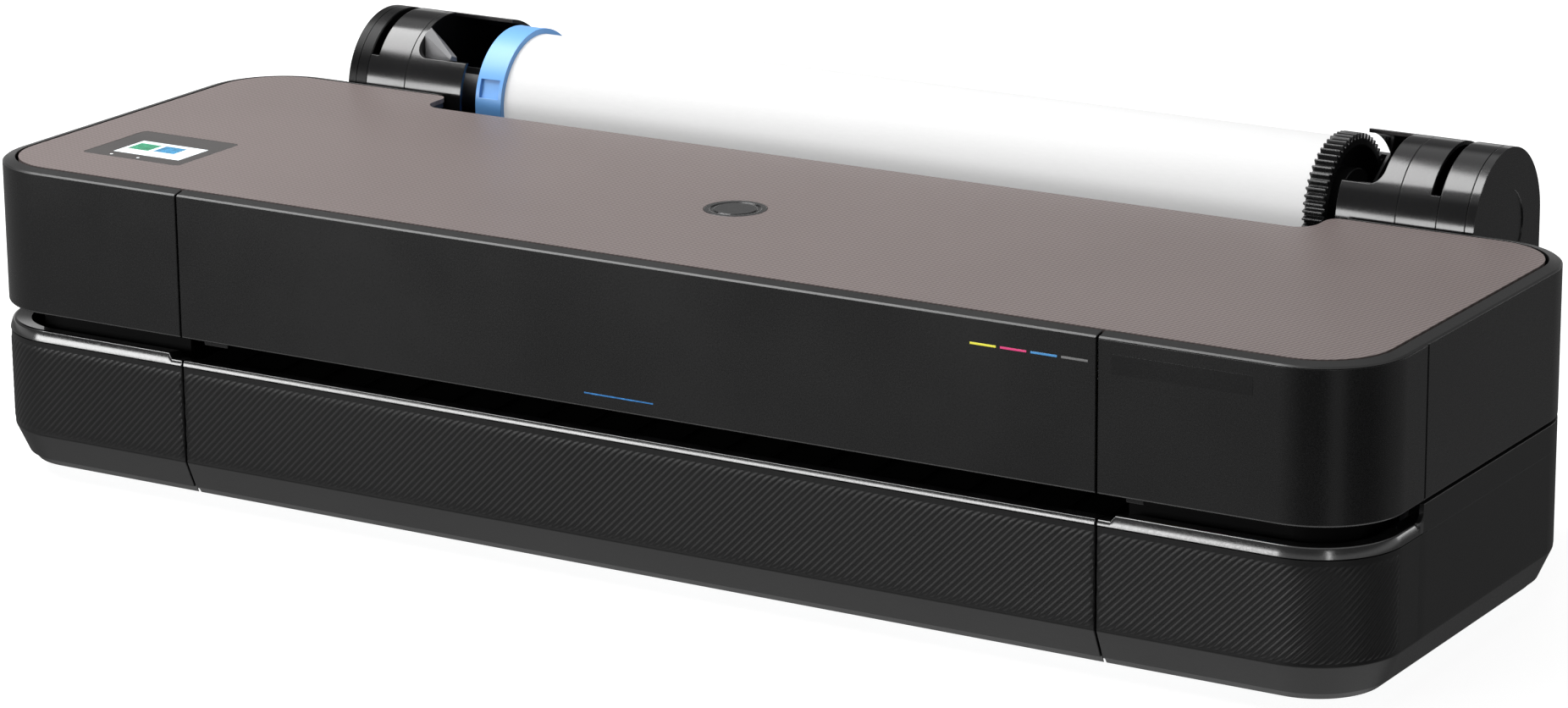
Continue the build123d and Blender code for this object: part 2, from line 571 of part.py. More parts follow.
def pulley(x, shaft_r, tail):
    """Flanged belt pulley on a short shaft along Y."""
    wheel = rod_y(-50.4, -43.6, x, BELT_Z, PULLEY_R)
    wheel += rod_y(-51.2, -50.4, x, BELT_Z, PULLEY_R + 2) + rod_y(-43.6, -42.8, x, BELT_Z, PULLEY_R + 2)
    return wheel + rod_y(-51.2, tail, x, BELT_Z, shaft_r)


def motor_pulley():
    return pulley(-PULLEY_X, 2.5, BEAM_Y + 10)


def idler_pulley():
    return pulley(PULLEY_X, 2 - RUN, BEAM_Y + 5)


def carriage_motor():
    """Motor of the carriage belt, inside the beam's left end."""
    body = rod_y(BEAM_Y + 2, BEAM_Y + 32, -PULLEY_X + 3, BELT_Z - 1, 12)
    return body - rod_y(BEAM_Y, BEAM_Y + 11, -PULLEY_X, BELT_Z, 2.5 + RUN)


def cutter_rail():
    """Rail of the sheet cutter, in front of the exit roller."""
    rail = block(-FRAME_X + 8, 330, -139, -131, 118, 128)
    return rail - block(-FRAME_X + 7, 331, -137, -130, 120, 126)


def cutter():
    """Rotary cutter trolley in the rail, parked at the left, with its round blade behind."""
    x0, x1 = -FRAME_X + 12, -FRAME_X + 38
    trolley = block(x0, x1, -136.6, -126.5, 120.3, 125.7)
    trolley += block(x0, x1, -130, -126.5, 109, 125.7)
    return trolley + rod_y(-126.5, -125, (x0 + x1) / 2, 114.5, 7)


def service_station():
    """Tray where the printhead parks, with a waste well and a wiper."""
    x0, x1 = 312.5, FRAME_X - FRAME_T - 0.5
    tray = block(x0, x1, -112, -66, BASE_Z + 4, 112)
    tray -= block(x0 + 3, x1 - 3, -109, -69, 70, 113)
    return tray + block(x0 + 3, x0 + 5, -105, -73, 69, 116)


def cap_sled():
    """Rubber cap that rises to seal the parked printhead."""
    x0, x1 = CARRIAGE_X0 + 12, CARRIAGE_X0 + CARRIAGE_W - 12
    sled = block(x0, x1, -107, -72, 92, 111)
    sled -= block(x0 + 4, x1 - 4, -103, -76, 105, 112)
    return sled + block(x0 + 20, x1 - 20, -95, -84, 74, 93)


# ---------------------------------------------------------------- inks
def cartridge_x(index):
    return BAY_X0 + 3 + CART_PITCH * index


def ink_cartridge(index):
    """Upright ink cartridge with a finger ridge on its front."""
    x0 = cartridge_x(index)
    shell = block(x0, x0 + CART_W, CART_Y0, CART_Y1, CART_Z0, CART_Z1)
    shell = fillet(shell.edges().filter_by(Axis.Y), 3)
    ridge = block(x0 + 6, x0 + CART_W - 6, CART_Y0 - 2, CART_Y0 + 1, CART_Z1 - 22, CART_Z1 - 12)
    return shell + ridge


def cartridge_bay():
    """Open-fronted holder of the four cartridges."""
    x1 = cartridge_x(3) + CART_W + 3
    bay = block(BAY_X0, x1, CART_Y0 + 4, CART_Y1 + 4, CART_Z0 - 4, CART_Z1 + 3)
    for i in range(4):
        x0 = cartridge_x(i)
        bay -= block(x0 - 0.4, x0 + CART_W + 0.4, -200, CART_Y1 + 0.4, CART_Z0 - 0.4, CART_Z1 + 0.4)
    return bay


# ---------------------------------------------------------------- electronics
def main_board():
    """Controller board on posts, with its main chips."""
    board = block(-390, -190, -190, -112, 28, 29.6)
    for x, y, size, height in ((-330, -160, 28, 3), (-270, -160, 18, 2), (-240, -140, 22, 5), (-350, -136, 14, 8)):
        board += block(x, x + size, y, y + size, 29.6, 29.6 + height)
    for x in (-384, -196):
        for y in (-184, -118):
            board += rod_z(BASE_Z + 4, 28, x, y, 3)
    return board


def power_supply():
    """Boxed mains supply with a row of vents."""
    case = block(180, 330, -186, -126, BASE_Z + 4, 62)
    for i in range(12):
        case -= block(192 + 11 * i, 196 + 11 * i, -187, -184, 24, 52)
    return case


def power_inlet():
    """Mains inlet: a deep socket with three blades, open to the rear."""
    body = block(INLET_X - 14, INLET_X + 14, BACK_Y - 20, BACK_Y, PORT_Z - 10, PORT_Z + 10)
    body -= block(INLET_X - 11.5, INLET_X + 11.5, BACK_Y - 16, BACK_Y + 1, PORT_Z - 7.5, PORT_Z + 7.5)
    for x, z in ((-7, -2), (0, 2), (7, -2)):
        body += block(INLET_X + x - 1, INLET_X + x + 1, BACK_Y - 17, BACK_Y - 4, PORT_Z + z - 2, PORT_Z + z + 2)
    return body


def data_ports():
    """Two sockets on one small board: network, and serial bus."""
    board = block(PORTS_X - 22, PORTS_X + 22, BACK_Y - 26, BACK_Y - 24, PORT_Z - 11, PORT_Z + 11)
    network = block(PORTS_X - 18, PORTS_X - 2, BACK_Y - 24, BACK_Y - 0.5, PORT_Z - 7, PORT_Z + 7)
    network -= block(PORTS_X - 16, PORTS_X - 4, BACK_Y - 16, BACK_Y + 1, PORT_Z - 4.5, PORT_Z + 4.5)
    serial = block(PORTS_X + 6, PORTS_X + 18, BACK_Y - 24, BACK_Y - 0.5, PORT_Z - 6, PORT_Z + 6)
    serial -= block(PORTS_X + 8, PORTS_X + 16, BACK_Y - 14, BACK_Y + 1, PORT_Z - 4, PORT_Z + 4)
    return joined([board, network, serial])


# ---------------------------------------------------------------- roll bay
def arch(radius, x0, x1, z0):
    """Upright block under a half cylinder round the roll axis."""
    top = rod_x(x0, x1, ROLL_Y, ROLL_Z, radius)
    return top + block(x0, x1, ROLL_Y - radius, ROLL_Y + radius, z0, ROLL_Z)


def roll_holder(cut_x, front_x, groove_x, seam_x):
    """Arched holder of one end of the spindle, with a front window and a groove over its top.

    It is built for the left end: cut_x is its inner wall, front_x the end of its front apron, and
    seam_x the joint line of its drum. The end face has a round recess.
    """
    end = -HOUSING_END_X
    inner_r = HOUSING_R - HOUSING_T
    shell = arch(HOUSING_R, end, -ARM_GAP_X, ARCH_FOOT_Z)
    shell -= arch(inner_r, end + HOUSING_T, -ARM_GAP_X + 1, ARCH_FOOT_Z - 1)
    shell += arch(inner_r + 0.5, cut_x - 2.5, cut_x, ARCH_FOOT_Z)
    window = Rectangle(120, 60, align=(Align.MIN, Align.MIN))
    window = fillet(window.vertices().sort_by(Axis.X)[:2].sort_by(Axis.Y)[0], 9)
    window = extrude(Plane.XZ.offset(-90) * Pos(cut_x, WINDOW_Z) * window, -(ROLL_Y + 8 - 90))
    shell -= window
    shell -= block(front_x, 0, ROLL_Y - HOUSING_R - 1, ROLL_Y, 0, TOP_Z * 2)
    shell -= block(groove_x, groove_x + GROOVE_W, ROLL_Y - 60, ROLL_Y + 60, ROLL_Z + 27, TOP_Z * 2)
    for x in (seam_x, groove_x - 0.5, end + 6):
        shell -= arch(HOUSING_R + 1, x, x + 0.5, ARCH_FOOT_Z - 1) - arch(HOUSING_R - 0.5, x - 1, x + 2, ARCH_FOOT_Z - 2)
    shell -= rod_x(end - 1, end + 0.8, ROLL_Y, ROLL_Z, 25)
    boss = tube_x(cut_x - 1, cut_x + 11, ROLL_Y, ROLL_Z, 12, SPINDLE_R + RUN)
    boss -= block(cut_x, cut_x + 12, ROLL_Y - SPINDLE_R, ROLL_Y + SPINDLE_R, ROLL_Z, TOP_Z * 2)
    return shell + boss


def left_roll_holder():
    return roll_holder(LEFT_CUT_X, -333.5, -413.0, -381.0)


def right_roll_holder():
    return mirrored(roll_holder(-RIGHT_CUT_X, -334.0, -402.3, -375.0))


def spindle_guide():
    """Wedge in the left window that leads the spindle end down to its seat."""
    base_x, tip_x = LEFT_CUT_X, LEFT_CUT_X + 21
    base = [(base_x, 128, 229), (base_x, 128, 249), (base_x, 136, 252), (base_x, 150, 240), (base_x, 150, 229)]
    tip = [(tip_x, 128, 229), (tip_x, 128, 233), (tip_x, 130, 235), (tip_x, 136, 233), (tip_x, 136, 229)]
    faces = [make_face(Polyline(ring, close=True)) for ring in (base, tip)]
    return loft(faces, ruled=True)


def rear_cover():
    """Rear casing of the roll bay: back wall, two end walls, port openings and screw bosses."""
    x1, y0, y1 = HOUSING_END_X, ROLL_Y - HOUSING_R, BACK_Y
    top = ARCH_FOOT_Z - 0.4
    shell = block(-x1, x1, y0, y1, BASE_Z, top)
    shell = fillet(shell.edges().filter_by(Axis.Z).group_by(Axis.Y)[-1], 3)
    t = HOUSING_T
    shell -= block(-x1 + t, x1 - t, y0 - 1, y1 - t, BASE_Z - 1, top + 1)
    middle_top = ROLL_Z - 18
    shell += block(-ARM_GAP_X + 1, ARM_GAP_X - 1, y1 - 1.6, y1, top - 1, middle_top)
    for i in range(VENT_COUNT):
        x = VENT_X0 + VENT_PITCH * i
        shell -= block(x, x + 7, y1 - 1.2, y1 + 1, 70, 110)
    for x, z in SCREW_SPOTS:
        shell += rod_y(y1 - 12, y1 - 1, x, z, 6)
        shell -= rod_y(y1 - 2.6, y1 + 1, x, z, 3.6)
        shell -= rod_y(y1 - 13, y1, x, z, 1.5)
    shell -= block(PORT_PANEL_X0, PORT_PANEL_X1, y1 - 5, y1 + 1, PORT_PANEL_Z0, PORT_PANEL_Z1)
    return group([shell, port_panel()])


def port_panel():
    """Insert of the rear cover round the mains inlet and the data ports."""
    x0, x1 = PORT_PANEL_X0 + HAIR_GAP / 2, PORT_PANEL_X1 - HAIR_GAP / 2
    z0, z1 = PORT_PANEL_Z0 + HAIR_GAP / 2, PORT_PANEL_Z1 - HAIR_GAP / 2
    panel = block(x0, x1, BACK_Y - HOUSING_T, BACK_Y - 0.4, z0, z1)
    panel -= block(INLET_X - 14, INLET_X + 14, BACK_Y - 5, BACK_Y, PORT_Z - 10, PORT_Z + 10)
    panel -= block(PORTS_X - 18, PORTS_X - 2, BACK_Y - 5, BACK_Y, PORT_Z - 7, PORT_Z + 7)
    return panel - block(PORTS_X + 6, PORTS_X + 18, BACK_Y - 5, BACK_Y, PORT_Z - 6, PORT_Z + 6)


def rear_screws():
    """Pan-head screws of the rear cover, sunk into its bosses."""
    heads = []
    for x, z in SCREW_SPOTS:
        screw = rod_y(BACK_Y - 2.6, BACK_Y - 0.6, x, z, 3) + rod_y(BACK_Y - 12, BACK_Y - 2, x, z, 1.5)
        screw -= block(x - 2, x + 2, BACK_Y - 1.4, BACK_Y, z - 0.4, z + 0.4)
        heads.append(screw - block(x - 0.4, x + 0.4, BACK_Y - 1.4, BACK_Y, z - 2, z + 2))
    return group(heads)


def roll_trough():
    """Curved floor under the roll, and the guide that leads the sheet down to the feed roller."""
    outer, inner = 54.0, 52.4
    half = ARM_GAP_X - 1
    floor = tube_x(-half, half, ROLL_Y, ROLL_Z, outer, inner)
    floor &= block(-half, half, 0, BACK_Y - 3, ROLL_Z - 60, ROLL_Z - 22)
    start_y = ROLL_Y - sqrt(inner**2 - 22**2)
    ramp = [(start_y, ROLL_Z - 22), (BAY_EDGE_Y + 1, ROLL_Z - 40), (-2, PINCH_Z - 6)]
    ramp += [(y, z - 1.8) for y, z in reversed(ramp)]
    floor += side_profile(ramp, -half, half)
    for x in (-250, 250):
        web = block(x - 1.5, x + 1.5, ROLL_Y - 30, ROLL_Y + 30, BASE_Z + 4, ROLL_Z - 20)
        floor += web - rod_x(x - 3, x + 3, ROLL_Y, ROLL_Z, 53.0)
    return floor - rod_x(GEAR_X1 - 16, half + 1, DRIVE_Y, DRIVE_Z, 19)


def roll_cover():
    """Curved cover of the roll bay. It is open: turned down behind and under the roll."""
    half = ARM_GAP_X - 0.7
    outer, inner = HOUSING_R - 0.3, HOUSING_R - 2.4
    shell = tube_x(-half, half, ROLL_Y, ROLL_Z, outer, inner)
    for sign in (-1, 1):
        x0, x1 = sorted((sign * half, sign * (half - 2.0)))
        shell += tube_x(x0, x1, ROLL_Y, ROLL_Z, outer - 0.5, 14.8)
    keep_out = [(0.0, 0.0)]
    for degrees in range(int(COVER_TOP_DEG), int(COVER_BOTTOM_DEG) + 360, 6):
        keep_out.append((200 * cos(radians(degrees)), 200 * sin(radians(degrees))))
    keep_out.append((200 * cos(radians(COVER_BOTTOM_DEG)), 200 * sin(radians(COVER_BOTTOM_DEG))))
    shell -= side_profile([(ROLL_Y + y, ROLL_Z + z) for y, z in keep_out], -half - 1, half + 1)
    for cut_x, sign in ((-LEFT_CUT_X, -1), (RIGHT_CUT_X, 1)):
        x0, x1 = sorted((sign * (half - 2.0), sign * (cut_x - 0.5)))
        sleeve = tube_x(x0, x1, ROLL_Y, ROLL_Z, 15.5, 12 + RUN)
        shell += sleeve - block(x0 - 1, x1 + 1, ROLL_Y - 8.6, ROLL_Y + 8.6, ROLL_Z, TOP_Z * 2)
    return shell


# ---------------------------------------------------------------- roll and spindle
def blue_flange():
    """Blue end stop with a wide rim, four pockets in the rim and a hub in the core."""
    flange = rod_x(FLANGE_X0, ROLL_X0, ROLL_Y, ROLL_Z, FLANGE_R)
    flange -= rod_x(FLANGE_X0 - 1, ROLL_X0 - 4, ROLL_Y, ROLL_Z, FLANGE_R - 4)
    flange += rod_x(FLANGE_X0, ROLL_X0 + 18, ROLL_Y, ROLL_Z, CORE_BORE_R - 0.1)
    for i in range(4):
        pocket = block(FLANGE_X0 + 3, ROLL_X0 - 3, -FLANGE_R - 1, -FLANGE_R + 2.6, -6.5, 6.5)
        flange -= Pos(0, ROLL_Y, ROLL_Z) * Rot(90 * i - POCKET_ANGLE, 0, 0) * pocket
    return flange - rod_x(-500, 0, ROLL_Y, ROLL_Z, SPINDLE_R - RUN)


def spindle():
    """Bar of the roll, seated in the two holders, with its fixed end stop whose rim is a gear."""
    turn = 180 + DRIVE_ANGLE
    flange = gear_x(ROLL_X1, GEAR_X1, ROLL_Y, ROLL_Z, FLANGE_MODULE, FLANGE_TEETH, turn)
    flange -= tube_x(ROLL_X1 + 4, GEAR_X1 + 1, ROLL_Y, ROLL_Z, FLANGE_R - 8, CORE_BORE_R)
    flange += rod_x(ROLL_X1 - 18, ROLL_X1, ROLL_Y, ROLL_Z, CORE_BORE_R - 0.1)
    return flange + rod_x(LEFT_CUT_X + 0.4, RIGHT_CUT_X - 0.4, ROLL_Y, ROLL_Z, SPINDLE_R - RUN)


def roll_core():
    return tube_x(ROLL_X0, ROLL_X1, ROLL_Y, ROLL_Z, CORE_R, CORE_BORE_R - 0.1)


def paper_roll():
    return tube_x(ROLL_X0, ROLL_X1, ROLL_Y, ROLL_Z, ROLL_R, CORE_R)


def drive_gear():
    """Small gear under the geared flange, on the roll motor's shaft."""
    turn = DRIVE_ANGLE + 180 / DRIVE_TEETH
    gear = gear_x(ROLL_X1 + 1, GEAR_X1, DRIVE_Y, DRIVE_Z, FLANGE_MODULE, DRIVE_TEETH, turn)
    return gear + rod_x(GEAR_X1, GEAR_X1 + 14, DRIVE_Y, DRIVE_Z, 3)


def roll_motor():
    """Geared motor that turns the roll, under the right roll holder."""
    body = rod_x(GEAR_X1 + 3, RIGHT_CUT_X - 3.5, DRIVE_Y, DRIVE_Z, 10)
    body += block(GEAR_X1 + 16, RIGHT_CUT_X, DRIVE_Y - 9, DRIVE_Y + 14, DRIVE_Z - 12, DRIVE_Z + 6)
    return body - rod_x(GEAR_X1, GEAR_X1 + 15, DRIVE_Y, DRIVE_Z, 3 + RUN)


def motors():
    """The three drive motors: sheet feed, carriage belt and roll."""
    return group([feed_motor(), carriage_motor(), roll_motor()])


# ---------------------------------------------------------------- all sub-parts
PLAIN_PARTS = (
    base_pan, feet, lower_center_cover, upper_left_cover, upper_right_cover, rear_cover, rear_screws,
    top_panel, top_frame, badge, screen_glass, lcd_module, front_cover, status_light_bar,
    ink_colour_marks, ink_door, name_plate, hinge_pins, output_guide, side_frames, shaft_bushings,
    feed_roller, feed_pinion, pinch_rollers, exit_roller, platen, carriage_beam, carriage_rod, carriage,
    printhead, encoder_strip, drive_belt, motor_pulley, idler_pulley, motors, cutter_rail, cutter,
    service_station, cap_sled, cartridge_bay, main_board, power_supply, power_inlet, data_ports,
    left_roll_holder, right_roll_holder, spindle_guide, roll_trough, roll_cover, spindle, blue_flange,
    roll_core, paper_roll, drive_gear,
)

parts = {make.__name__: make() for make in PLAIN_PARTS}
parts["lower_left_cover"] = lower_side(-1)
parts["lower_right_cover"] = lower_side(1)
for number, ink in enumerate(INKS):
    parts[f"{ink}_cartridge"] = ink_cartridge(number)

os.makedirs("parts", exist_ok=True)
for name, shape in parts.items():
    export_step(shape, f"parts/{name}.step")
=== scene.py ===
"""The looks of the desktop plotter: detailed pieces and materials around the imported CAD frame."""

import json
from math import cos, pi, radians, sin, sqrt

import bmesh
import bpy
from mathutils import Matrix, Vector


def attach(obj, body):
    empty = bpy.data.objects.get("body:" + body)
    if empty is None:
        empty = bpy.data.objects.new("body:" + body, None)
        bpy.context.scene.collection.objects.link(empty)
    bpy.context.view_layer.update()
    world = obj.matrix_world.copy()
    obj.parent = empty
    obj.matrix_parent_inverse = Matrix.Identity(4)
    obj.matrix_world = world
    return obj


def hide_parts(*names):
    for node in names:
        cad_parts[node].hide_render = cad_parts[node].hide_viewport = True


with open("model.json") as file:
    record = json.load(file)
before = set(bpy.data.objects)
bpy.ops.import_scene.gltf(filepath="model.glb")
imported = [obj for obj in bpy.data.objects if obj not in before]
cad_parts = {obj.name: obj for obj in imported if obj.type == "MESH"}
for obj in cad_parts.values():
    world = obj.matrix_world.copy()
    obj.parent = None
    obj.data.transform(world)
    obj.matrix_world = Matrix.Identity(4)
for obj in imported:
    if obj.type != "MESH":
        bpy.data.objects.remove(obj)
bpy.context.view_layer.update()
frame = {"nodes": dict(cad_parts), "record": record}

MM = 0.001
NODES = frame["nodes"]
SCENE = bpy.context.scene

# ---------------------------------------------------------------- sizes shared with the CAD, in mm
HALF_W, FRONT_Y, BODY_BACK_Y, PLAN_R = 506.5, -210.0, 108.0, 55.0
BASE_Z, BEND_Z, CHAMFER_IN, WALL = 10.0, 34.0, 10.9, 3.0
LIP_Z, LIP_IN, SPLIT_Z = 99.0, 14.0, 117.6
SHOULDER_Z, TOP_Z, BEZEL_IN = 212.6, 215.0, 9.4
SEAM_X, SEAM_GAP, HAIR_GAP = 335.0, 1.5, 0.6
SIDE_SEAM_Y = -128.3
HOUSING_END_X = 428.3
COVER_PIVOT_Y, COVER_PIVOT_Z = -186.6, 209.0
DOOR_PIVOT_X, DOOR_PIVOT_Y = 498.5, -112.3

# ---------------------------------------------------------------- the casing's plan as a path
CORNER_X = HALF_W - PLAN_R
ARC = PLAN_R * pi / 2
SIDE = BODY_BACK_Y - FRONT_Y - 2 * PLAN_R


def around(s):
    """Point and outward normal of the casing's plan, s mm along it from the middle of the front."""
    hand, t = (1 if s >= 0 else -1), abs(s)
    if t <= CORNER_X:
        x, y, nx, ny = t, FRONT_Y, 0.0, -1.0
    elif t <= CORNER_X + ARC:
        a = (t - CORNER_X) / PLAN_R - pi / 2
        nx, ny = cos(a), sin(a)
        x, y = CORNER_X + PLAN_R * nx, FRONT_Y + PLAN_R + PLAN_R * ny
    elif t <= CORNER_X + ARC + SIDE:
        x, y, nx, ny = HALF_W, FRONT_Y + PLAN_R + t - CORNER_X - ARC, 1.0, 0.0
    elif t <= CORNER_X + 2 * ARC + SIDE:
        a = (t - CORNER_X - ARC - SIDE) / PLAN_R
        nx, ny = cos(a), sin(a)
        x, y = CORNER_X + PLAN_R * nx, BODY_BACK_Y - PLAN_R + PLAN_R * ny
    else:
        x, y, nx, ny = 2 * CORNER_X + 2 * ARC + SIDE - t, BODY_BACK_Y, 0.0, 1.0
    return hand * x, y, hand * nx, ny


def side_s(y):
    """Path length at which the right side reaches y."""
    return CORNER_X + ARC + y - FRONT_Y - PLAN_R


def rear_s(x):
    """Path length at which the rear reaches x, on the right."""
    return 2 * CORNER_X + 2 * ARC + SIDE - x


def stations(s0, s1, extra=()):
    """Path lengths from s0 to s1: close together on the corners, and wherever extra asks."""
    bends = [CORNER_X + ARC * i / 24 for i in range(25)]
    bends += [CORNER_X + ARC + SIDE + ARC * i / 24 for i in range(25)]
    marks = set(bends) | {-b for b in bends} | set(extra)
    inside = [s for s in marks if s0 + 0.5 < s < s1 - 0.5 or s in extra]
    return sorted({s0, s1, *inside})


# ---------------------------------------------------------------- mesh helpers
def rounded(points, steps=5):
    """Closed outline from (u, v, radius) corners, with each corner rounded."""
    out = []
    for i, (u, v, radius) in enumerate(points):
        here = Vector((u, v))
        if radius <= 0:
            out.append((u, v))
            continue
        before = (Vector(points[i - 1][:2]) - here).normalized()
        after = (Vector(points[(i + 1) % len(points)][:2]) - here).normalized()
        half = before.angle(after) / 2
        reach = radius / max(sin(half) / cos(half), 1e-6)
        middle = here + (before + after).normalized() * (radius / sin(half))
        start, end = here + before * reach - middle, here + after * reach - middle
        turn = start.angle_signed(end)
        for k in range(steps + 1):
            a = -turn * k / steps
            spoke = Vector((start.x * cos(a) - start.y * sin(a), start.x * sin(a) + start.y * cos(a)))
            out.append(tuple(middle + spoke))
    return out


def shrunk(outline, by):
    """The outline moved inwards by a small amount."""
    area = sum(outline[i - 1][0] * p[1] - p[0] * outline[i - 1][1] for i, p in enumerate(outline))
    hand = 1 if area > 0 else -1
    out = []
    for i, (u, v) in enumerate(outline):
        normal = Vector((0, 0))
        for (a, b) in ((outline[i - 1], (u, v)), ((u, v), outline[(i + 1) % len(outline)])):
            run = Vector((b[0] - a[0], b[1] - a[1]))
            if run.length > 1e-6:
                normal += Vector((-run.y, run.x)).normalized()
        if normal.length > 1e-6:
            normal = normal.normalized()
        out.append((u + hand * normal.x * by, v + hand * normal.y * by))
    return out


def skin(bm, rings):
    """Joins rings of points, each a closed loop of the same length, and closes both ends."""
    rows = [[bm.verts.new(Vector(p) * MM) for p in ring] for ring in rings]
    count = len(rows[0])
    for a, b in zip(rows, rows[1:]):
        for i in range(count):
            j = (i + 1) % count
            bm.faces.new((a[i], a[j], b[j], b[i]))
    bm.faces.new(list(reversed(rows[0])))
    bm.faces.new(rows[-1])


def sweep(bm, s_values, profile_at, bevel=0.35):
    """Carries a profile of (inset, z) points along the casing's plan, with softened ends."""
    rings = []
    first, last = s_values[0], s_values[-1]
    places = [(first, shrunk(profile_at(first), bevel)), (first + bevel, profile_at(first))]
    places += [(s, profile_at(s)) for s in s_values[1:-1]]
    places += [(last - bevel, profile_at(last)), (last, shrunk(profile_at(last), bevel))]
    for s, outline in places:
        x, y, nx, ny = around(s)
        rings.append([(x - nx * inset, y - ny * inset, z) for inset, z in outline])
    skin(bm, rings)


def add_block(bm, x0, x1, y0, y1, z0, z1, bevel=0.4):
    """A box with softened edges."""
    made = bmesh.ops.create_cube(bm, size=1.0)["verts"]
    for v in made:
        x, y, z = (c + 0.5 for c in v.co)
        v.co = Vector((x0 + x * (x1 - x0), y0 + y * (y1 - y0), z0 + z * (z1 - z0))) * MM
    edges = list({e for v in made for e in v.link_edges})
    bmesh.ops.bevel(bm, geom=edges, offset=bevel * MM, segments=2, profile=0.5, affect="EDGES")


def turned(bm, outline, axis, centre, sides):
    """A solid of revolution: outline of (radius, length) points turned about X, Y or Z."""
    rings = []
    for k in range(sides):
        a = 2 * pi * k / sides
        ring = []
        for radius, length in outline:
            u, v = radius * cos(a), radius * sin(a)
            local = {"X": (length, u, v), "Y": (u, length, v), "Z": (u, v, length)}[axis]
            ring.append(tuple(c + d for c, d in zip(centre, local)))
        rings.append(ring)
    rows = [[bm.verts.new(Vector(p) * MM) for p in ring] for ring in rings]
    count = len(outline)
    for k in range(sides):
        a, b = rows[k], rows[(k + 1) % sides]
        for i in range(count):
            j = (i + 1) % count
            bm.faces.new((a[i], a[j], b[j], b[i]))


def settle(bm, angle=32):
    """Smooth shading with sharp edges where two faces meet at more than the angle."""
    for face in bm.faces:
        face.smooth = True
    for edge in bm.edges:
        if len(edge.link_faces) == 2:
            edge.smooth = edge.calc_face_angle(0.0) < radians(angle)


def face_outwards(bm):
    """Turns every face's normal outwards."""
    bmesh.ops.recalc_face_normals(bm, faces=bm.faces[:])


def piece(name, bm, materials, body, nodes=(), angle=32):
    """Makes the mesh an object that rides on a body and may stand for CAD nodes."""
    settle(bm, angle)
    mesh = bpy.data.meshes.new(name)
    bm.to_mesh(mesh)
    bm.free()
    for material in materials:
        mesh.materials.append(material)
    obj = bpy.data.objects.new(name, mesh)
    SCENE.collection.objects.link(obj)
    modifier = obj.modifiers.new("normals", "WEIGHTED_NORMAL")
    modifier.keep_sharp = True
    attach(obj, body)
    if nodes:
        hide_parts(*nodes)
    return obj


def cad_copy(node, bevel=0.4, crease=35, segments=2):
    """A CAD node's mesh, welded, with flat faces joined and its sharp edges rounded."""
    bm = bmesh.new()
    bm.from_mesh(NODES[node].data)
    bmesh.ops.remove_doubles(bm, verts=bm.verts[:], dist=1e-6)
    bmesh.ops.dissolve_limit(bm, angle_limit=radians(0.5), verts=bm.verts[:], edges=bm.edges[:])
    face_outwards(bm)
    sharp = [e for e in bm.edges if len(e.link_faces) == 2 and e.calc_face_angle(0.0) > radians(crease)]
    bmesh.ops.bevel(
        bm, geom=sharp, offset=bevel * MM, segments=segments, profile=0.5, affect="EDGES", clamp_overlap=True
    )
    return bm


# ---------------------------------------------------------------- materials
class Net:
    """A material's node tree, with short ways to add and join nodes."""

    def __init__(self, name):
        self.material = bpy.data.materials.new(name)
        self.material.use_nodes = True
        self.tree = self.material.node_tree
        self.shader = self.tree.nodes["Principled BSDF"]
        self.place = self.add("ShaderNodeTexCoord").outputs["Object"]

    def add(self, kind, **values):
        node = self.tree.nodes.new(kind)
        for key, value in values.items():
            setattr(node, key, value)
        return node

    def join(self, out, into):
        self.tree.links.new(out, into)

    def noise(self, scale, detail=3.0, stretch=None):
        node = self.add("ShaderNodeTexNoise")
        node.inputs["Scale"].default_value = scale
        node.inputs["Detail"].default_value = detail
        source = self.place
        if stretch:
            mapping = self.add("ShaderNodeMapping")
            mapping.inputs["Scale"].default_value = stretch
            self.join(source, mapping.inputs["Vector"])
            source = mapping.outputs["Vector"]
        self.join(source, node.inputs["Vector"])
        return node.outputs["Fac"]

    def math(self, operation, a, b=None, clamp=False):
        node = self.add("ShaderNodeMath", operation=operation, use_clamp=clamp)
        for socket, value in zip(node.inputs, (a, b)):
            if value is None:
                continue
            if isinstance(value, (int, float)):
                socket.default_value = value
            else:
                self.join(value, socket)
        return node.outputs["Value"]

    def span(self, value, low, high, from_low=0.0, from_high=1.0):
        node = self.add("ShaderNodeMapRange")
        self.join(value, node.inputs["Value"])
        node.inputs["From Min"].default_value = from_low
        node.inputs["From Max"].default_value = from_high
        node.inputs["To Min"].default_value = low
        node.inputs["To Max"].default_value = high
        return node.outputs["Result"]

    def mix(self, amount, first, second):
        node = self.add("ShaderNodeMix", data_type="RGBA")
        self.join(amount, node.inputs["Factor"])
        colours = [s for s in node.inputs if s.type == "RGBA"]
        for socket, value in zip(colours, (first, second)):
            if isinstance(value, tuple):
                socket.default_value = (*value, 1.0)
            else:
                self.join(value, socket)
        return [s for s in node.outputs if s.type == "RGBA"][0]

    def bump(self, height, strength, distance, normal=None):
        node = self.add("ShaderNodeBump")
        node.inputs["Strength"].default_value = strength
        node.inputs["Distance"].default_value = distance
        self.join(height, node.inputs["Height"])
        if normal is not None:
            self.join(normal, node.inputs["Normal"])
        return node.outputs["Normal"]

    def fix(self, sockets):
        """Sets shader sockets, named with _ for each space, to constants."""
        for socket, value in sockets.items():
            self.shader.inputs[socket.replace("_", " ")].default_value = value


def scaled(colour, by):
    return tuple(min(1.0, c * by) for c in colour)


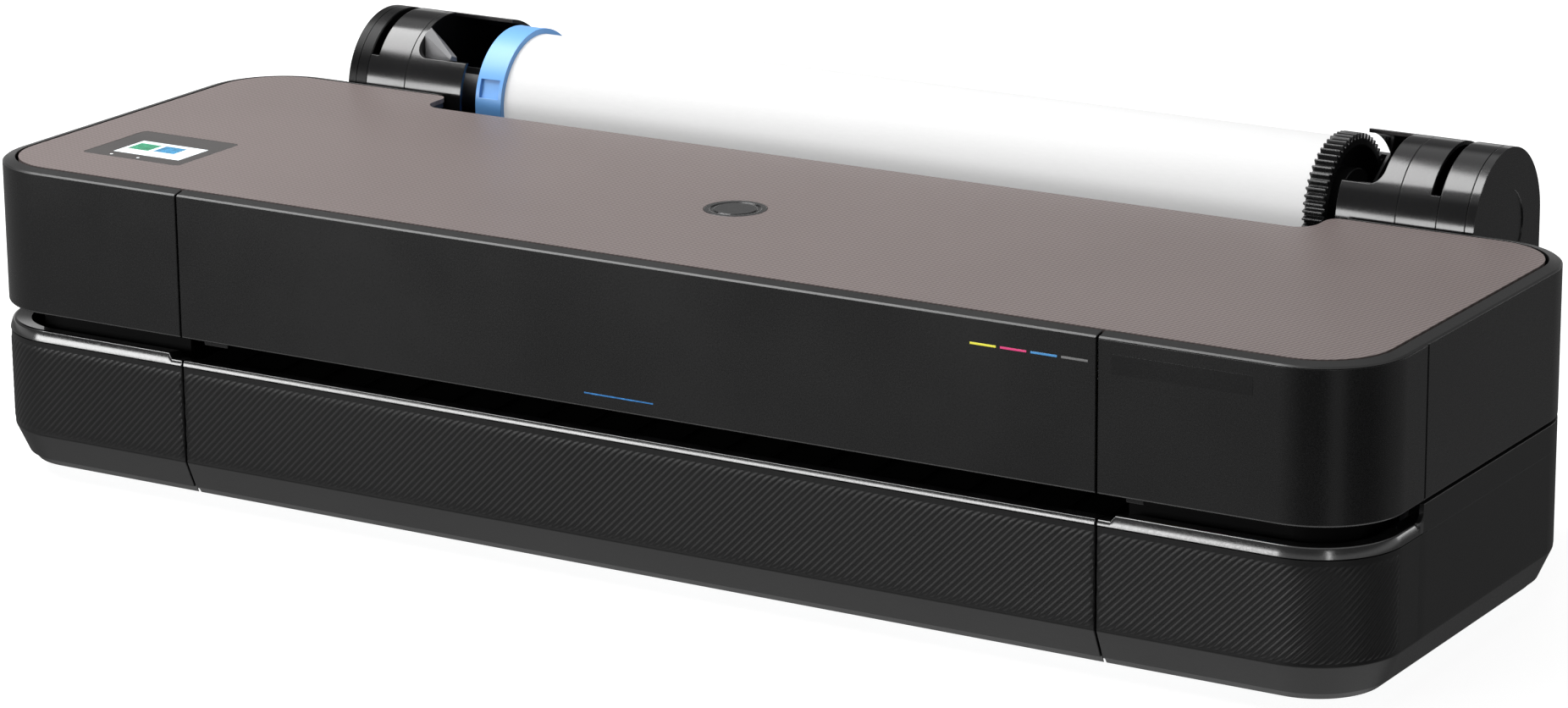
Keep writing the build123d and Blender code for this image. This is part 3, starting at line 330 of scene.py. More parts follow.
def plastic(name, colour, rough, spread=0.08, patch=0.12, grain=900.0, depth=0.00002, wear=1.6, **sockets):
    """Moulded or metal surface: cloudy colour, grain in gloss and height, lighter worn edges."""
    net = Net(name)
    cloud = net.noise(11.0, 4.0)
    speck = net.noise(grain, 2.0)
    base = net.mix(net.span(cloud, 0.0, 1.0, 0.3, 0.7), scaled(colour, 1 - patch), scaled(colour, 1 + patch))
    round_edge = net.add("ShaderNodeBevel", samples=4)
    round_edge.inputs["Radius"].default_value = 0.0007
    geometry = net.add("ShaderNodeNewGeometry")
    dot = net.add("ShaderNodeVectorMath", operation="DOT_PRODUCT")
    net.join(round_edge.outputs["Normal"], dot.inputs[0])
    net.join(geometry.outputs["Normal"], dot.inputs[1])
    edge = net.span(dot.outputs["Value"], 1.0, 0.0, 0.8, 0.99)
    rubbed = net.math("MULTIPLY", edge, net.span(net.noise(160.0, 3.0), 0.1, 0.9, 0.35, 0.65), clamp=True)
    net.join(net.mix(rubbed, base, scaled(colour, wear)), net.shader.inputs["Base Color"])
    broad = net.span(cloud, rough - spread, rough + spread, 0.3, 0.7)
    gloss = net.math("ADD", broad, net.span(speck, -0.04, 0.04))
    net.join(gloss, net.shader.inputs["Roughness"])
    height = net.math("ADD", speck, net.math("MULTIPLY", net.noise(60.0, 2.0), 0.3))
    net.join(net.bump(height, 0.5, depth, round_edge.outputs["Normal"]), net.shader.inputs["Normal"])
    net.fix(sockets)
    return net.material


def casing(name, colour, rough, grain=1100.0, depth=0.00004, patch=0.06, **sockets):
    """Matte moulded casing: spark-eroded grain, faint clouds in colour and gloss, soft sheen."""
    net = Net(name)
    cloud = net.noise(7.0, 5.0)
    speck = net.noise(grain, 3.0)
    coarse = net.noise(grain / 3, 2.0)
    tint = net.span(cloud, -patch, patch, 0.3, 0.7)
    tone = net.math("ADD", tint, net.span(speck, -0.05, 0.05, 0.3, 0.7))
    amount = net.math("ADD", tone, 0.5)
    net.join(net.mix(amount, scaled(colour, 0.5), scaled(colour, 1.5)), net.shader.inputs["Base Color"])
    broad = net.span(cloud, rough - 0.04, rough + 0.04, 0.3, 0.7)
    gloss = net.math("ADD", broad, net.span(speck, -0.05, 0.05, 0.3, 0.7))
    net.join(gloss, net.shader.inputs["Roughness"])
    height = net.math("ADD", speck, net.math("MULTIPLY", coarse, 0.8))
    net.join(net.bump(height, 0.6, depth), net.shader.inputs["Normal"])
    net.fix(sockets)
    return net.material


PANEL_DARK, PANEL_LIGHT = (0.086, 0.069, 0.066), (0.198, 0.161, 0.155)
THREAD_PITCH, THREAD_SLANT = 0.0034, 0.3


def woven_panel():
    """Taupe top: two crossing sets of fine diagonal threads under a soft satin sheen."""
    net = Net("woven_panel")
    split = net.add("ShaderNodeSeparateXYZ")
    net.join(net.place, split.inputs["Vector"])
    x, y = split.outputs["X"], split.outputs["Y"]
    sway = net.span(net.noise(30.0, 2.0), -0.0006, 0.0006)
    slant = net.math("MULTIPLY", y, THREAD_SLANT)
    one = net.math("ADD", net.math("ADD", x, slant), sway)
    two = net.math("ADD", net.math("SUBTRACT", x, slant), sway)
    wave_one = net.math("SINE", net.math("MULTIPLY", one, 2 * pi / THREAD_PITCH))
    wave_two = net.math("SINE", net.math("MULTIPLY", two, 2 * pi / THREAD_PITCH))
    over = net.span(net.math("MULTIPLY", wave_one, wave_two), 0.0, 1.0, -0.35, 0.35)
    under = net.math("SUBTRACT", 1.0, over)
    thread = net.math("ADD", net.math("MULTIPLY", wave_one, over), net.math("MULTIPLY", wave_two, under))
    cloud = net.noise(5.0, 5.0)
    speck = net.noise(1500.0, 2.0)
    tone = net.span(thread, 0.18, 0.78, -1.0, 1.0)
    tone = net.math("ADD", tone, net.span(cloud, -0.05, 0.05, 0.3, 0.7))
    tone = net.math("ADD", tone, net.span(speck, -0.07, 0.07, 0.3, 0.7))
    net.join(net.mix(tone, PANEL_DARK, PANEL_LIGHT), net.shader.inputs["Base Color"])
    gloss = net.math("ADD", net.span(thread, 0.50, 0.38, -1.0, 1.0), net.span(speck, -0.04, 0.04))
    net.join(gloss, net.shader.inputs["Roughness"])
    height = net.math("ADD", net.math("MULTIPLY", thread, 0.7), net.math("MULTIPLY", speck, 0.4))
    net.join(net.bump(height, 0.5, 0.00012), net.shader.inputs["Normal"])
    net.shader.inputs["Specular IOR Level"].default_value = 0.45
    return net.material


def paper_surface():
    """Uncoated paper: faint fibres in tone, gloss and height, and a painted glow from white emission that
    lifts its shaded side.
    """
    net = Net("paper")
    fibre = net.noise(700.0, 4.0, (0.25, 1.0, 1.0))
    cloud = net.noise(6.0, 3.0)
    strand = net.span(fibre, 0.3, 0.7, 0.3, 0.7)
    tone = net.math("ADD", strand, net.span(cloud, -0.1, 0.1, 0.3, 0.7))
    net.join(net.mix(tone, (0.37, 0.37, 0.37), (0.43, 0.43, 0.43)), net.shader.inputs["Base Color"])
    # painted light: the paper glows with white emission, though it is no lamp, to brighten its shaded side
    # over a greyed base
    net.shader.inputs["Emission Color"].default_value = (1, 1, 1, 1)
    net.shader.inputs["Emission Strength"].default_value = 0.32
    net.join(net.span(fibre, 0.62, 0.80, 0.3, 0.7), net.shader.inputs["Roughness"])
    net.join(net.bump(fibre, 0.25, 0.00002), net.shader.inputs["Normal"])
    net.shader.inputs["Sheen Weight"].default_value = 0.1
    return net.material


def glow(name, colour, strength, dim=0.5):
    """A lit surface behind a diffuser: light through a slightly uneven guide."""
    net = Net(name)
    cloud = net.noise(220.0, 2.0)
    lit = net.mix(net.span(cloud, 0.0, 1.0, 0.3, 0.7), scaled(colour, dim), colour)
    net.join(lit, net.shader.inputs["Base Color"])
    net.join(lit, net.shader.inputs["Emission Color"])
    net.shader.inputs["Emission Strength"].default_value = strength
    net.join(net.span(net.noise(900.0), 0.2, 0.35), net.shader.inputs["Roughness"])
    return net.material


LOOKS = {
    "black_plastic": casing("black_plastic", (0.0045, 0.0045, 0.0046), 0.27, Specular_IOR_Level=0.40),
    "gloss_black": plastic(
        "gloss_black", (0.004, 0.004, 0.0043), 0.15, 0.03, grain=600.0, depth=0.000002, Specular_IOR_Level=0.6
    ),
    "dark_plastic": plastic("dark_plastic", (0.016, 0.016, 0.017), 0.50),
    "woven_panel": woven_panel(),
    # screen glass: dark glass whose base colour is lifted and slightly warmed as painted reflection
    "glass_black": plastic(
        "glass_black", (0.035, 0.031, 0.030), 0.14, 0.03, grain=500.0, depth=0.000002, wear=1.2
    ),
    "display": plastic("display", (0.62, 0.66, 0.68), 0.30),
    "blue_light": glow("blue_light", (0.02, 0.16, 0.42), 0.25),
    "ink_marks": plastic("ink_marks", (0.5, 0.4, 0.1), 0.4),
    "steel": plastic(
        "steel", (0.42, 0.43, 0.44), 0.34, 0.08, patch=0.08, grain=500.0, wear=1.3, Metallic=0.9
    ),
    "bright_steel": plastic(
        "bright_steel", (0.60, 0.61, 0.62), 0.20, 0.05, patch=0.05, wear=1.2, Metallic=1.0
    ),
    "rubber": plastic("rubber", (0.018, 0.018, 0.018), 0.78, 0.06, grain=1400.0, depth=0.00006, wear=1.5),
    "grit_roller": plastic(
        "grit_roller", (0.30, 0.31, 0.32), 0.48, 0.08, grain=1800.0, depth=0.00008, Metallic=0.9
    ),
    "bronze": plastic("bronze", (0.48, 0.30, 0.12), 0.38, 0.08, patch=0.2, grain=1500.0, Metallic=1.0),
    "grey_plastic": plastic("grey_plastic", (0.23, 0.23, 0.235), 0.34, 0.05, wear=1.3),
    "board_green": plastic("board_green", (0.015, 0.13, 0.05), 0.30, 0.05, patch=0.25, grain=300.0),
    "black_gear": plastic("black_gear", (0.009, 0.009, 0.0095), 0.28, 0.05, wear=1.8),
    "blue_plastic": plastic(
        "blue_plastic", (0.128, 0.33, 0.68), 0.36, 0.05, patch=0.05, grain=700.0, wear=1.15
    ),
    "cardboard": plastic("cardboard", (0.42, 0.30, 0.18), 0.8, 0.06, patch=0.2, grain=450.0, depth=0.0001),
    "paper": paper_surface(),
    "ink_yellow": plastic("ink_yellow", (0.78, 0.62, 0.03), 0.34),
    "ink_magenta": plastic("ink_magenta", (0.60, 0.03, 0.22), 0.34),
    "ink_cyan": plastic("ink_cyan", (0.02, 0.30, 0.58), 0.34),
    "ink_black": plastic("ink_black", (0.02, 0.02, 0.02), 0.30),
}
# bezel: the casing's black at about twice the brightness, painted light on the faces that look up, a little
# rougher and less shiny
BEZEL_LIT_LOOK = casing("bezel_painted_light", (0.010, 0.010, 0.010), 0.34, depth=0.00002, Specular_IOR_Level=0.35)
LIP_LOOK = casing("lip_gloss", (0.004, 0.004, 0.0041), 0.17, depth=0.000001, Specular_IOR_Level=1.0)
LOWER_LOOK = casing("lower_black", (0.0055, 0.0055, 0.0056), 0.40, Specular_IOR_Level=0.24)
# output guide deep in the slot: a darker, almost unreflective copy of the black plastic, as painted shade
SLOT_SHADE_LOOK = casing("slot_painted_shade", (0.0015, 0.0015, 0.0015), 0.55, depth=0.00002, Specular_IOR_Level=0.08)
# holder ends: one satin plastic in two copies, the right end's lighter and shinier as painted light, the left
# end's darker and duller as painted shade
RIGHT_END_LIT = casing("holder_end_lit", (0.006, 0.006, 0.0062), 0.30, depth=0.00002, Specular_IOR_Level=0.28)
LEFT_END_SHADED = casing("holder_end_shaded", (0.004, 0.004, 0.0042), 0.32, depth=0.00002, Specular_IOR_Level=0.11)
PLATE_LOOK = casing("plate_satin", (0.0045, 0.0045, 0.0046), 0.24, depth=0.00001, Specular_IOR_Level=0.38)
MARK_LOOKS = {
    "yellow": plastic("mark_yellow", (0.62, 0.58, 0.03), 0.4, wear=1.1),
    "magenta": plastic("mark_magenta", (0.55, 0.02, 0.14), 0.4, wear=1.1),
    "cyan": plastic("mark_cyan", (0.03, 0.20, 0.45), 0.4, wear=1.1),
    "grey": plastic("mark_grey", (0.12, 0.12, 0.12), 0.4, wear=1.1),
}
ICON_GREEN = glow("icon_green", (0.02, 0.28, 0.14), 0.25)
ICON_BLUE = glow("icon_blue", (0.03, 0.25, 0.48), 0.25)
ICON_MARK = glow("icon_mark", (0.75, 0.80, 0.82), 0.3, 0.9)
SCREEN_LOOK = glow("screen_lit", (0.66, 0.72, 0.75), 0.45, 0.94)

# the output guide inside the slot gets the painted-shade black instead of its own look
for row in frame["record"]["subparts"]:
    for holder in NODES[row["node"]].material_slots:
        holder.material = SLOT_SHADE_LOOK if row["node"] == "output_guide" else LOOKS[row["material_slot"]]

# ---------------------------------------------------------------- upper casing
BEZEL_EDGE = BEZEL_IN - 1.0
BEZEL_BACK = TOP_Z - 3
REAR_CLIP = 1.9
DOOR_TOP = SHOULDER_Z - HAIR_GAP
DOOR_CLIP = 4.0
# sections of the casing as (inset, z, radius) corners
BEZEL = [(1.3, SHOULDER_Z + 0.8, 0.8), (BEZEL_EDGE, TOP_Z, 0.35), (BEZEL_EDGE, BEZEL_BACK, 0)]
FOOT = [(WALL, SPLIT_Z + WALL, 0), (BEZEL_IN, SPLIT_Z + WALL, 0), (BEZEL_IN, SPLIT_Z, 0.5)]
UPPER = rounded([(0, SPLIT_Z, 2.2), (0, SHOULDER_Z - 0.2, 0.3), *BEZEL, (WALL, SHOULDER_Z - 3, 0), *FOOT])
DOOR = rounded([(0, SPLIT_Z, 2.2), (0, DOOR_TOP, 0.35), (WALL, DOOR_TOP, 0.3), *FOOT])
EDGE = [(0, DOOR_TOP + 0.3, 0.05), (0.05, SHOULDER_Z - 0.2, 0.05)]
STRIP = rounded([*EDGE, *BEZEL, (3.2, DOOR_TOP + 0.35, 0)])
REAR_STEP = rear_s(HOUSING_END_X + HAIR_GAP)
REAR_END = rear_s(346.0)
SEAM = SEAM_X + SEAM_GAP / 2
DOOR_END = side_s(SIDE_SEAM_Y)
HALF_COVER = SEAM_X - SEAM_GAP / 2


def paint_bezel(bm):
    """Second material, a lighter copy of the casing painted as light, for the faces near the top that look
    up.
    """
    for face in bm.faces:
        z = face.calc_center_median().z / MM
        if z > SHOULDER_Z - 0.4 and face.normal.z > 0.35:
            face.material_index = 1


def upper_profile(s):
    """The upper casing's section, set back where the roll holders' housing covers it."""
    if abs(s) > REAR_STEP:
        return [(max(inset, REAR_CLIP), z) for inset, z in UPPER]
    return UPPER


def upper_shell(side, bm):
    """Finishes the left or right piece of the upper casing."""
    face_outwards(bm)
    paint_bezel(bm)
    looks = [LOOKS["black_plastic"], BEZEL_LIT_LOOK]
    piece(f"upper_{side}_shell", bm, looks, "chassis", [f"upper_{side}_cover"])


def upper_left():
    """Left end of the upper casing, from the front cover round to the rear."""
    bm = bmesh.new()
    marks = (-REAR_STEP, -REAR_STEP - 0.05)
    sweep(bm, stations(-REAR_END, -SEAM, marks), upper_profile)
    upper_shell("left", bm)


def upper_right():
    """Right end of the upper casing: the bezel over the ink door, the wall behind it, and hinge ears."""
    bm = bmesh.new()
    seam = side_s(SIDE_SEAM_Y + SEAM_GAP)
    sweep(bm, stations(SEAM, seam + 0.3), lambda s: STRIP)
    sweep(bm, stations(seam, REAR_END, (REAR_STEP, REAR_STEP + 0.05)), upper_profile)
    for z in (133.0, 187.0):
        add_block(bm, DOOR_PIVOT_X - 6, HALF_W - 1, DOOR_PIVOT_Y + 6, DOOR_PIVOT_Y + 10, z, z + 8)
        add_block(bm, DOOR_PIVOT_X - 5, DOOR_PIVOT_X + 5, DOOR_PIVOT_Y - 5, DOOR_PIVOT_Y + 10, z, z + 3)
    upper_shell("right", bm)


def tab(bm, x0, x1):
    """Small lift tab under the front edge of a cover."""
    add_block(bm, x0, x1, FRONT_Y + 5, FRONT_Y + 7.5, SPLIT_Z - 3.5, SPLIT_Z + 1, 0.8)


def front_cover():
    """Cover across the middle, with end cheeks and two hinge arms inside."""
    bm = bmesh.new()
    sweep(bm, [-HALF_COVER, -100.0, 100.0, HALF_COVER], lambda s: UPPER)
    for x in (-HALF_COVER, HALF_COVER - 2):
        add_block(bm, x, x + 2, FRONT_Y + 1, FRONT_Y + 16, SPLIT_Z + 0.5, COVER_PIVOT_Z - 24)
    hub = [(1.55, -5), (2.9, -5), (2.9, 5), (1.55, 5)]
    arm_back, arm_foot = COVER_PIVOT_Y + 2.4, COVER_PIVOT_Z - 23
    for x in (-300.0, 300.0):
        turned(bm, hub, "X", (x, COVER_PIVOT_Y, COVER_PIVOT_Z), 40)
        add_block(bm, x - 5, x + 5, COVER_PIVOT_Y - 2, arm_back, arm_foot, COVER_PIVOT_Z - 2)
        add_block(bm, x - 5, x + 5, FRONT_Y + 2, arm_back, arm_foot, COVER_PIVOT_Z - 18)
    tab(bm, -320.0, -301.0)
    face_outwards(bm)
    paint_bezel(bm)
    looks = [LOOKS["black_plastic"], BEZEL_LIT_LOOK]
    piece("front_cover_shell", bm, looks, "front_cover", ["front_cover"])


def door_profile(s):
    """The door's section, whose foot is cut back to the wall next to the side seam."""
    if s < DOOR_END - DOOR_CLIP - 0.02:
        return DOOR
    return [(inset if inset <= WALL else WALL + (inset - WALL) * 0.03, z) for inset, z in DOOR]


def ink_door():
    """Door round the right front corner, hung on two goose-neck arms."""
    bm = bmesh.new()
    clip = [DOOR_END - DOOR_CLIP - 0.05, DOOR_END - DOOR_CLIP]
    sweep(bm, sorted(set(stations(SEAM, DOOR_END) + clip)), door_profile)
    tab(bm, 352.0, 364.0)
    reach = DOOR_PIVOT_X - 22
    for z in (122.0, 176.0):
        top = z + 10
        hub = [(2.05, z), (4.5, z), (4.5, top), (2.05, top)]
        turned(bm, hub, "Z", (DOOR_PIVOT_X, DOOR_PIVOT_Y, 0), 40)
        add_block(bm, reach, DOOR_PIVOT_X - 2.5, DOOR_PIVOT_Y - 2, DOOR_PIVOT_Y + 2, z, top)
        add_block(bm, reach, reach + 4, DOOR_PIVOT_Y - 27, DOOR_PIVOT_Y + 2, z, top)
        add_block(bm, reach, HALF_W - WALL + 0.5, DOOR_PIVOT_Y - 27, DOOR_PIVOT_Y - 23, z, top)
    face_outwards(bm)
    piece("ink_door_shell", bm, [LOOKS["black_plastic"]], "ink_door", ["ink_door"])


# ---------------------------------------------------------------- lower casing
FACE_IN = 0.5
RIB_Z0, RIB_Z1, RIB_PITCH, RIB_H = 34.8, 95.0, 5.0, 0.5
RIB_LEFT, RIB_RIGHT = -520.0, 535.0
RIB_ROWS, RIB_STEPS = 16, 8
RIB_SINK, RIB_BACK = 0.06, 1.4
SLOT_END = DOOR_END
SLOT_R = 6.0
RAISED_Z = SPLIT_Z - 1.3
CENTER_LIP_Z, END_LIP_Z = 102.4, 106.0
LIP_LEAN = (10.0, 24.0)
CENTER_CROWN, END_CROWN = 0.8, 2.2
RISE_FROM, RISE_TO = 344.0, 347.0
PLAIN_FROM, PLAIN_TO = SLOT_END - 4.0, SLOT_END + 6.0
GROOVE_IN = 1.5
INSIDE_Z = 92.0


def lip_curve(foot, top, lean, crown):
    """Outline of the glossy lip: a wall that leans back, with its upper edge rolled over."""
    steep = pi / 2 - lean[1]
    body_r = (top - foot - crown * (1 - cos(steep))) / (sin(lean[1]) - sin(lean[0]))
    low = [lean[0] + (lean[1] - lean[0]) * k / 6 for k in range(7)]
    curve = [(body_r * (cos(lean[0]) - cos(a)), foot + body_r * (sin(a) - sin(lean[0]))) for a in low]
    x, z = curve[-1]
    high = [lean[1] + (pi / 2 - lean[1]) * k / 8 for k in range(1, 9)]
    return curve + [(x + crown * (cos(lean[1]) - cos(a)), z + crown * (sin(a) - sin(lean[1]))) for a in high]


def lower_profile(top, crown, wall_top=None, plain=0.0):
    """Section of the lower casing: chamfer, ribbed face, groove and lip, or a raised wall."""
    face = FACE_IN * (1 - plain) + 0.05 * plain
    deep = GROOVE_IN * (1 - plain) + 0.1 * plain
    outline = [
        (CHAMFER_IN, BASE_Z, 0.8), (0.3, BEND_Z - 0.2, 3.0), (face, BEND_Z + 2.4, 0),
        (face, LIP_Z - 1.0, 0.1), (deep, LIP_Z - 0.8, 0.1), (deep, LIP_Z - 0.1, 0.1),
    ]
    if wall_top is None:
        curve = lip_curve(LIP_Z, top, [radians(a) for a in LIP_LEAN], crown)
    else:
        curve = lip_curve(LIP_Z, wall_top, (0.0, 0.001), 0.4)
    curve = [(x + 0.05, z) for x, z in curve]
    body = rounded(outline + [(0.05, LIP_Z + 0.1, 0)])[:-1]
    crest = curve[-1][1]
    inner = WALL if wall_top is not None else curve[-1][0] + 0.3
    floor = [(inner, crest), (inner, top), (LIP_IN, top - 1.6), (LIP_IN, INSIDE_Z)]
    back = [(WALL, INSIDE_Z), (WALL, BEND_Z), (CHAMFER_IN + WALL, BASE_Z)]
    return body + curve + floor + back


def side_profile(s):
    """Section of a lower side piece: the lip rises past the seam, and a wall follows the slot's end."""
    t = abs(s)
    near = min(max((t - RISE_FROM) / (RISE_TO - RISE_FROM), 0.0), 1.0)
    top = CENTER_LIP_Z + (END_LIP_Z - CENTER_LIP_Z) * near
    plain = min(max((t - PLAIN_FROM) / (PLAIN_TO - PLAIN_FROM), 0.0), 1.0)
    if t <= SLOT_END - SLOT_R:
        wall_top = None
    elif t <= SLOT_END:
        wall_top = END_LIP_Z + SLOT_R - sqrt(max(SLOT_R**2 - (t - SLOT_END + SLOT_R) ** 2, 0.0))
    else:
        wall_top = RAISED_Z
    return lower_profile(top, END_CROWN, wall_top, plain)


def rib_height(s, z):
    """Height of the slanted ribs above the face, fading out at their ends."""
    share = ((s - z) / RIB_PITCH) % 1.0
    ends = min((s - RIB_LEFT) / 6.0, (RIB_RIGHT - s) / 6.0)
    fade = min(1.0, (z - RIB_Z0) / 1.5, (RIB_Z1 - z) / 1.5, ends)
    return RIB_H * max(0.0, fade) * (1 - (2 * share - 1) ** 2)


def add_ribs(bm, s0, s1):
    """Slanted half-round ribs on the face, as one closed strip whose back lies inside the wall."""
    heights = [RIB_Z0 + (RIB_Z1 - RIB_Z0) * j / RIB_ROWS for j in range(RIB_ROWS + 1)]
    step = RIB_PITCH / RIB_STEPS
    first = int((s0 - RIB_Z1) / step) - 1
    last = int((s1 - RIB_Z0) / step) + 1

    def vertex(s, z, depth):
        x, y, nx, ny = around(s)
        return Vector((x - nx * depth, y - ny * depth, z)) * MM

    front, back, corners = {}, {}, {}
    for i in range(first, last + 1):
        for j, z in enumerate(heights):
            s = min(max(i * step + z, s0), s1)
            key = (round(s, 5), j)
            corners[i, j] = key
            if key not in front:
                proud = rib_height(s, z) * (1 + RIB_SINK / RIB_H)
                front[key] = bm.verts.new(vertex(s, z, FACE_IN + RIB_SINK - proud))
                back[key] = bm.verts.new(vertex(s, z, RIB_BACK))
    faces = []
    for i in range(first, last):
        for j in range(RIB_ROWS):
            ring = []
            for key in (corners[i, j], corners[i + 1, j], corners[i + 1, j + 1], corners[i, j + 1]):
                if key not in ring:
                    ring.append(key)
            if len(ring) >= 3 and len({k[0] for k in ring}) > 1:
                faces.append(ring)
    rim = {}
    for ring in faces:
        bm.faces.new([front[k] for k in ring])
        bm.faces.new([back[k] for k in reversed(ring)])
        for a, b in zip(ring, ring[1:] + ring[:1]):
            if (b, a) in rim:
                del rim[b, a]
            else:
                rim[a, b] = True
    for a, b in rim:
        bm.faces.new([front[b], front[a], back[a], back[b]])


def paint_lip(bm):
    """Second material on the lip and the slot's floor."""
    for face in bm.faces:
        centre = face.calc_center_median() / MM
        if LIP_Z < centre.z < END_LIP_Z + 0.2 and centre.y < SIDE_SEAM_Y:
            face.material_index = 1


def lower_piece(part, s_values, profile, rib_from, rib_to):
    """One piece of the lower casing, with its lip painted and its ribs added."""
    bm = bmesh.new()
    sweep(bm, s_values, profile)
    face_outwards(bm)
    paint_lip(bm)
    add_ribs(bm, rib_from, rib_to)
    looks = [LOWER_LOOK, LIP_LOOK]
    piece(f"lower_{part}_shell", bm, looks, "chassis", [f"lower_{part}_cover"], 30)


def lower_casing():
    """The lower casing's three pieces, left, right and centre."""
    near = [RISE_FROM, RISE_TO, PLAIN_FROM, PLAIN_TO]
    bend = [SLOT_END - SLOT_R * (1 - sin(k * pi / 16)) for k in range(9)]
    right = stations(SEAM, REAR_STEP, near + bend + [SLOT_END + 0.02])
    left = [-s for s in reversed(right)]
    centre = [-HALF_COVER, -100.0, 100.0, HALF_COVER]
    hold = 0.4
    lower_piece("left", left, side_profile, RIB_LEFT, -SEAM - hold)
    lower_piece("right", right, side_profile, SEAM + hold, RIB_RIGHT)
    middle = lower_profile(CENTER_LIP_Z, CENTER_CROWN)
    lower_piece("center", centre, lambda s: middle, hold - HALF_COVER, HALF_COVER - hold)


# ---------------------------------------------------------------- top
BADGE_Y, AXLE_R = -67.4, 0.01
GLASS_LOWERED = 0.1


def top_details():
    """Woven panel, badge with a ring sunk in it, and the control panel with its lit screen."""
    bm = cad_copy("top_panel", 0.35)
    piece("top_panel_woven", bm, [LOOKS["woven_panel"]], "chassis", ["top_panel"], 25)
    bm = bmesh.new()
    ring = [
        (AXLE_R, 214.0), (20.3, 214.0), (20.3, 214.7), (20.0, 215.0), (16.6, 215.0), (16.3, 214.5),
        (14.2, 214.5), (13.9, 215.0), (AXLE_R, 215.0),
    ]
    turned(bm, ring, "Z", (0, BADGE_Y, 0), 120)
    face_outwards(bm)
    piece("badge_disc", bm, [LOOKS["gloss_black"]], "chassis", ["badge"], 25)
    bm = cad_copy("screen_glass", 0.2)
    for v in bm.verts:
        v.co.z -= GLASS_LOWERED * MM
    piece("screen_plate", bm, [LOOKS["glass_black"]], "chassis", ["screen_glass"], 25)
    shapes = [
        ("screen_display", -440.0, -386.0, -140.5, -108.0, 214.85, 214.93, SCREEN_LOOK),
        ("screen_icon_left", -437.0, -420.0, -129.5, -114.0, 214.90, 214.97, ICON_GREEN),
        ("screen_icon_right", -416.5, -399.5, -128.5, -113.5, 214.90, 214.97, ICON_BLUE),
    ]
    for name, x0, x1, y0, y1, z0, z1, look in shapes:
        bm = bmesh.new()
        add_block(bm, x0, x1, y0, y1, z0, z1, 0.03)
        piece(name, bm, [look], "chassis")
    for number, x in enumerate((-436.0, -414.0)):
        bm = bmesh.new()
        dot = [(AXLE_R, 214.85), (1.1, 214.85), (1.1, 214.93), (AXLE_R, 214.93)]
        turned(bm, dot, "Z", (x, -147.5, 0), 32)
        piece(f"screen_dot_{number}", bm, [ICON_MARK], "chassis")


MARK_STARTS = {"yellow": 250.6, "magenta": 270.9, "cyan": 291.2, "grey": 311.5}
MARK_LENGTH = 17.6
MARK_FRONT, MARK_BACK = FRONT_Y - 0.08, FRONT_Y + 1.2


def front_details():
    """Four ink colour bars, the status light bar, and the blank plate on the ink door."""
    for colour, x in MARK_STARTS.items():
        bm = bmesh.new()
        add_block(bm, x, x + MARK_LENGTH, MARK_FRONT, MARK_BACK, 196.9, 198.3, 0.05)
        made = piece(f"ink_mark_{colour}", bm, [MARK_LOOKS[colour]], "front_cover")
        if colour == "yellow":
            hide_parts("ink_colour_marks")
    bm = bmesh.new()
    add_block(bm, -22.0, 28.5, MARK_FRONT, MARK_BACK, 126.75, 127.65, 0.05)
    piece("status_light", bm, [LOOKS["blue_light"]], "front_cover", ["status_light_bar"])
    bm = bmesh.new()
    add_block(bm, 344.4, 435.4, FRONT_Y - 0.12, FRONT_Y + 0.8, 192.0, 204.0, 0.1)
    piece("name_plate_blank", bm, [PLATE_LOOK], "ink_door", ["name_plate"])


# ---------------------------------------------------------------- roll bay
LEFT_CAP_X, RIGHT_CAP_X = -406.5, 395.7


def left_cap(face):
    """Whether a face of the left holder is on its satin end cap, which gets the darker copy painted as shade.
    """
    return face.calc_center_median().x / MM < LEFT_CAP_X


def right_cap(face):
    """Whether a face of the right holder is on its satin end, which looks outwards and gets the lighter copy
    painted as light.
    """
    return face.calc_center_median().x / MM > RIGHT_CAP_X and face.normal.x > 0.4


def roll_bay():
    """Glossy roll holders with satin ends, the left end a darker copy as painted shade and the right a
    lighter one as painted light, and the parts between them and behind.
    """
    for side, is_cap, satin in (("left", left_cap, LEFT_END_SHADED), ("right", right_cap, RIGHT_END_LIT)):
        node = f"{side}_roll_holder"
        bm = cad_copy(node, 0.5, 40)
        for face in bm.faces:
            if is_cap(face):
                face.material_index = 1
        piece(f"{side}_holder", bm, [LOOKS["gloss_black"], satin], "chassis", [node], 30)
    # piece, CAD node, body, look, and the bevel, crease angle and segments of its softened edges
    copies = [
        ("end_stop_blue", "blue_flange", "roll", "blue_plastic", (0.4, 35, 2)),
        ("spindle_geared", "spindle", "roll", "black_gear", (0.25, 40, 1)),
        ("guide_wedge", "spindle_guide", "chassis", "grey_plastic", (0.5, 15, 2)),
        ("rear_shell", "rear_cover", "chassis", "black_plastic", (0.3, 40, 1)),
    ]
    for name, node, body, look, softened in copies:
        piece(name, cad_copy(node, *softened), [LOOKS[look]], body, [node], 30)


upper_left()
upper_right()
front_cover()
ink_door()
lower_casing()
top_details()
front_details()
roll_bay()

# ---------------------------------------------------------------- camera, floor and light
VIEW_AZIMUTH, VIEW_ELEVATION, VIEW_ROLL = 31.6, 16.0, -0.5
VIEW_DISTANCE, VIEW_LENS = 3.3534, 120.43
VIEW_TARGET = Vector((0.0182, -0.040, 0.1152))


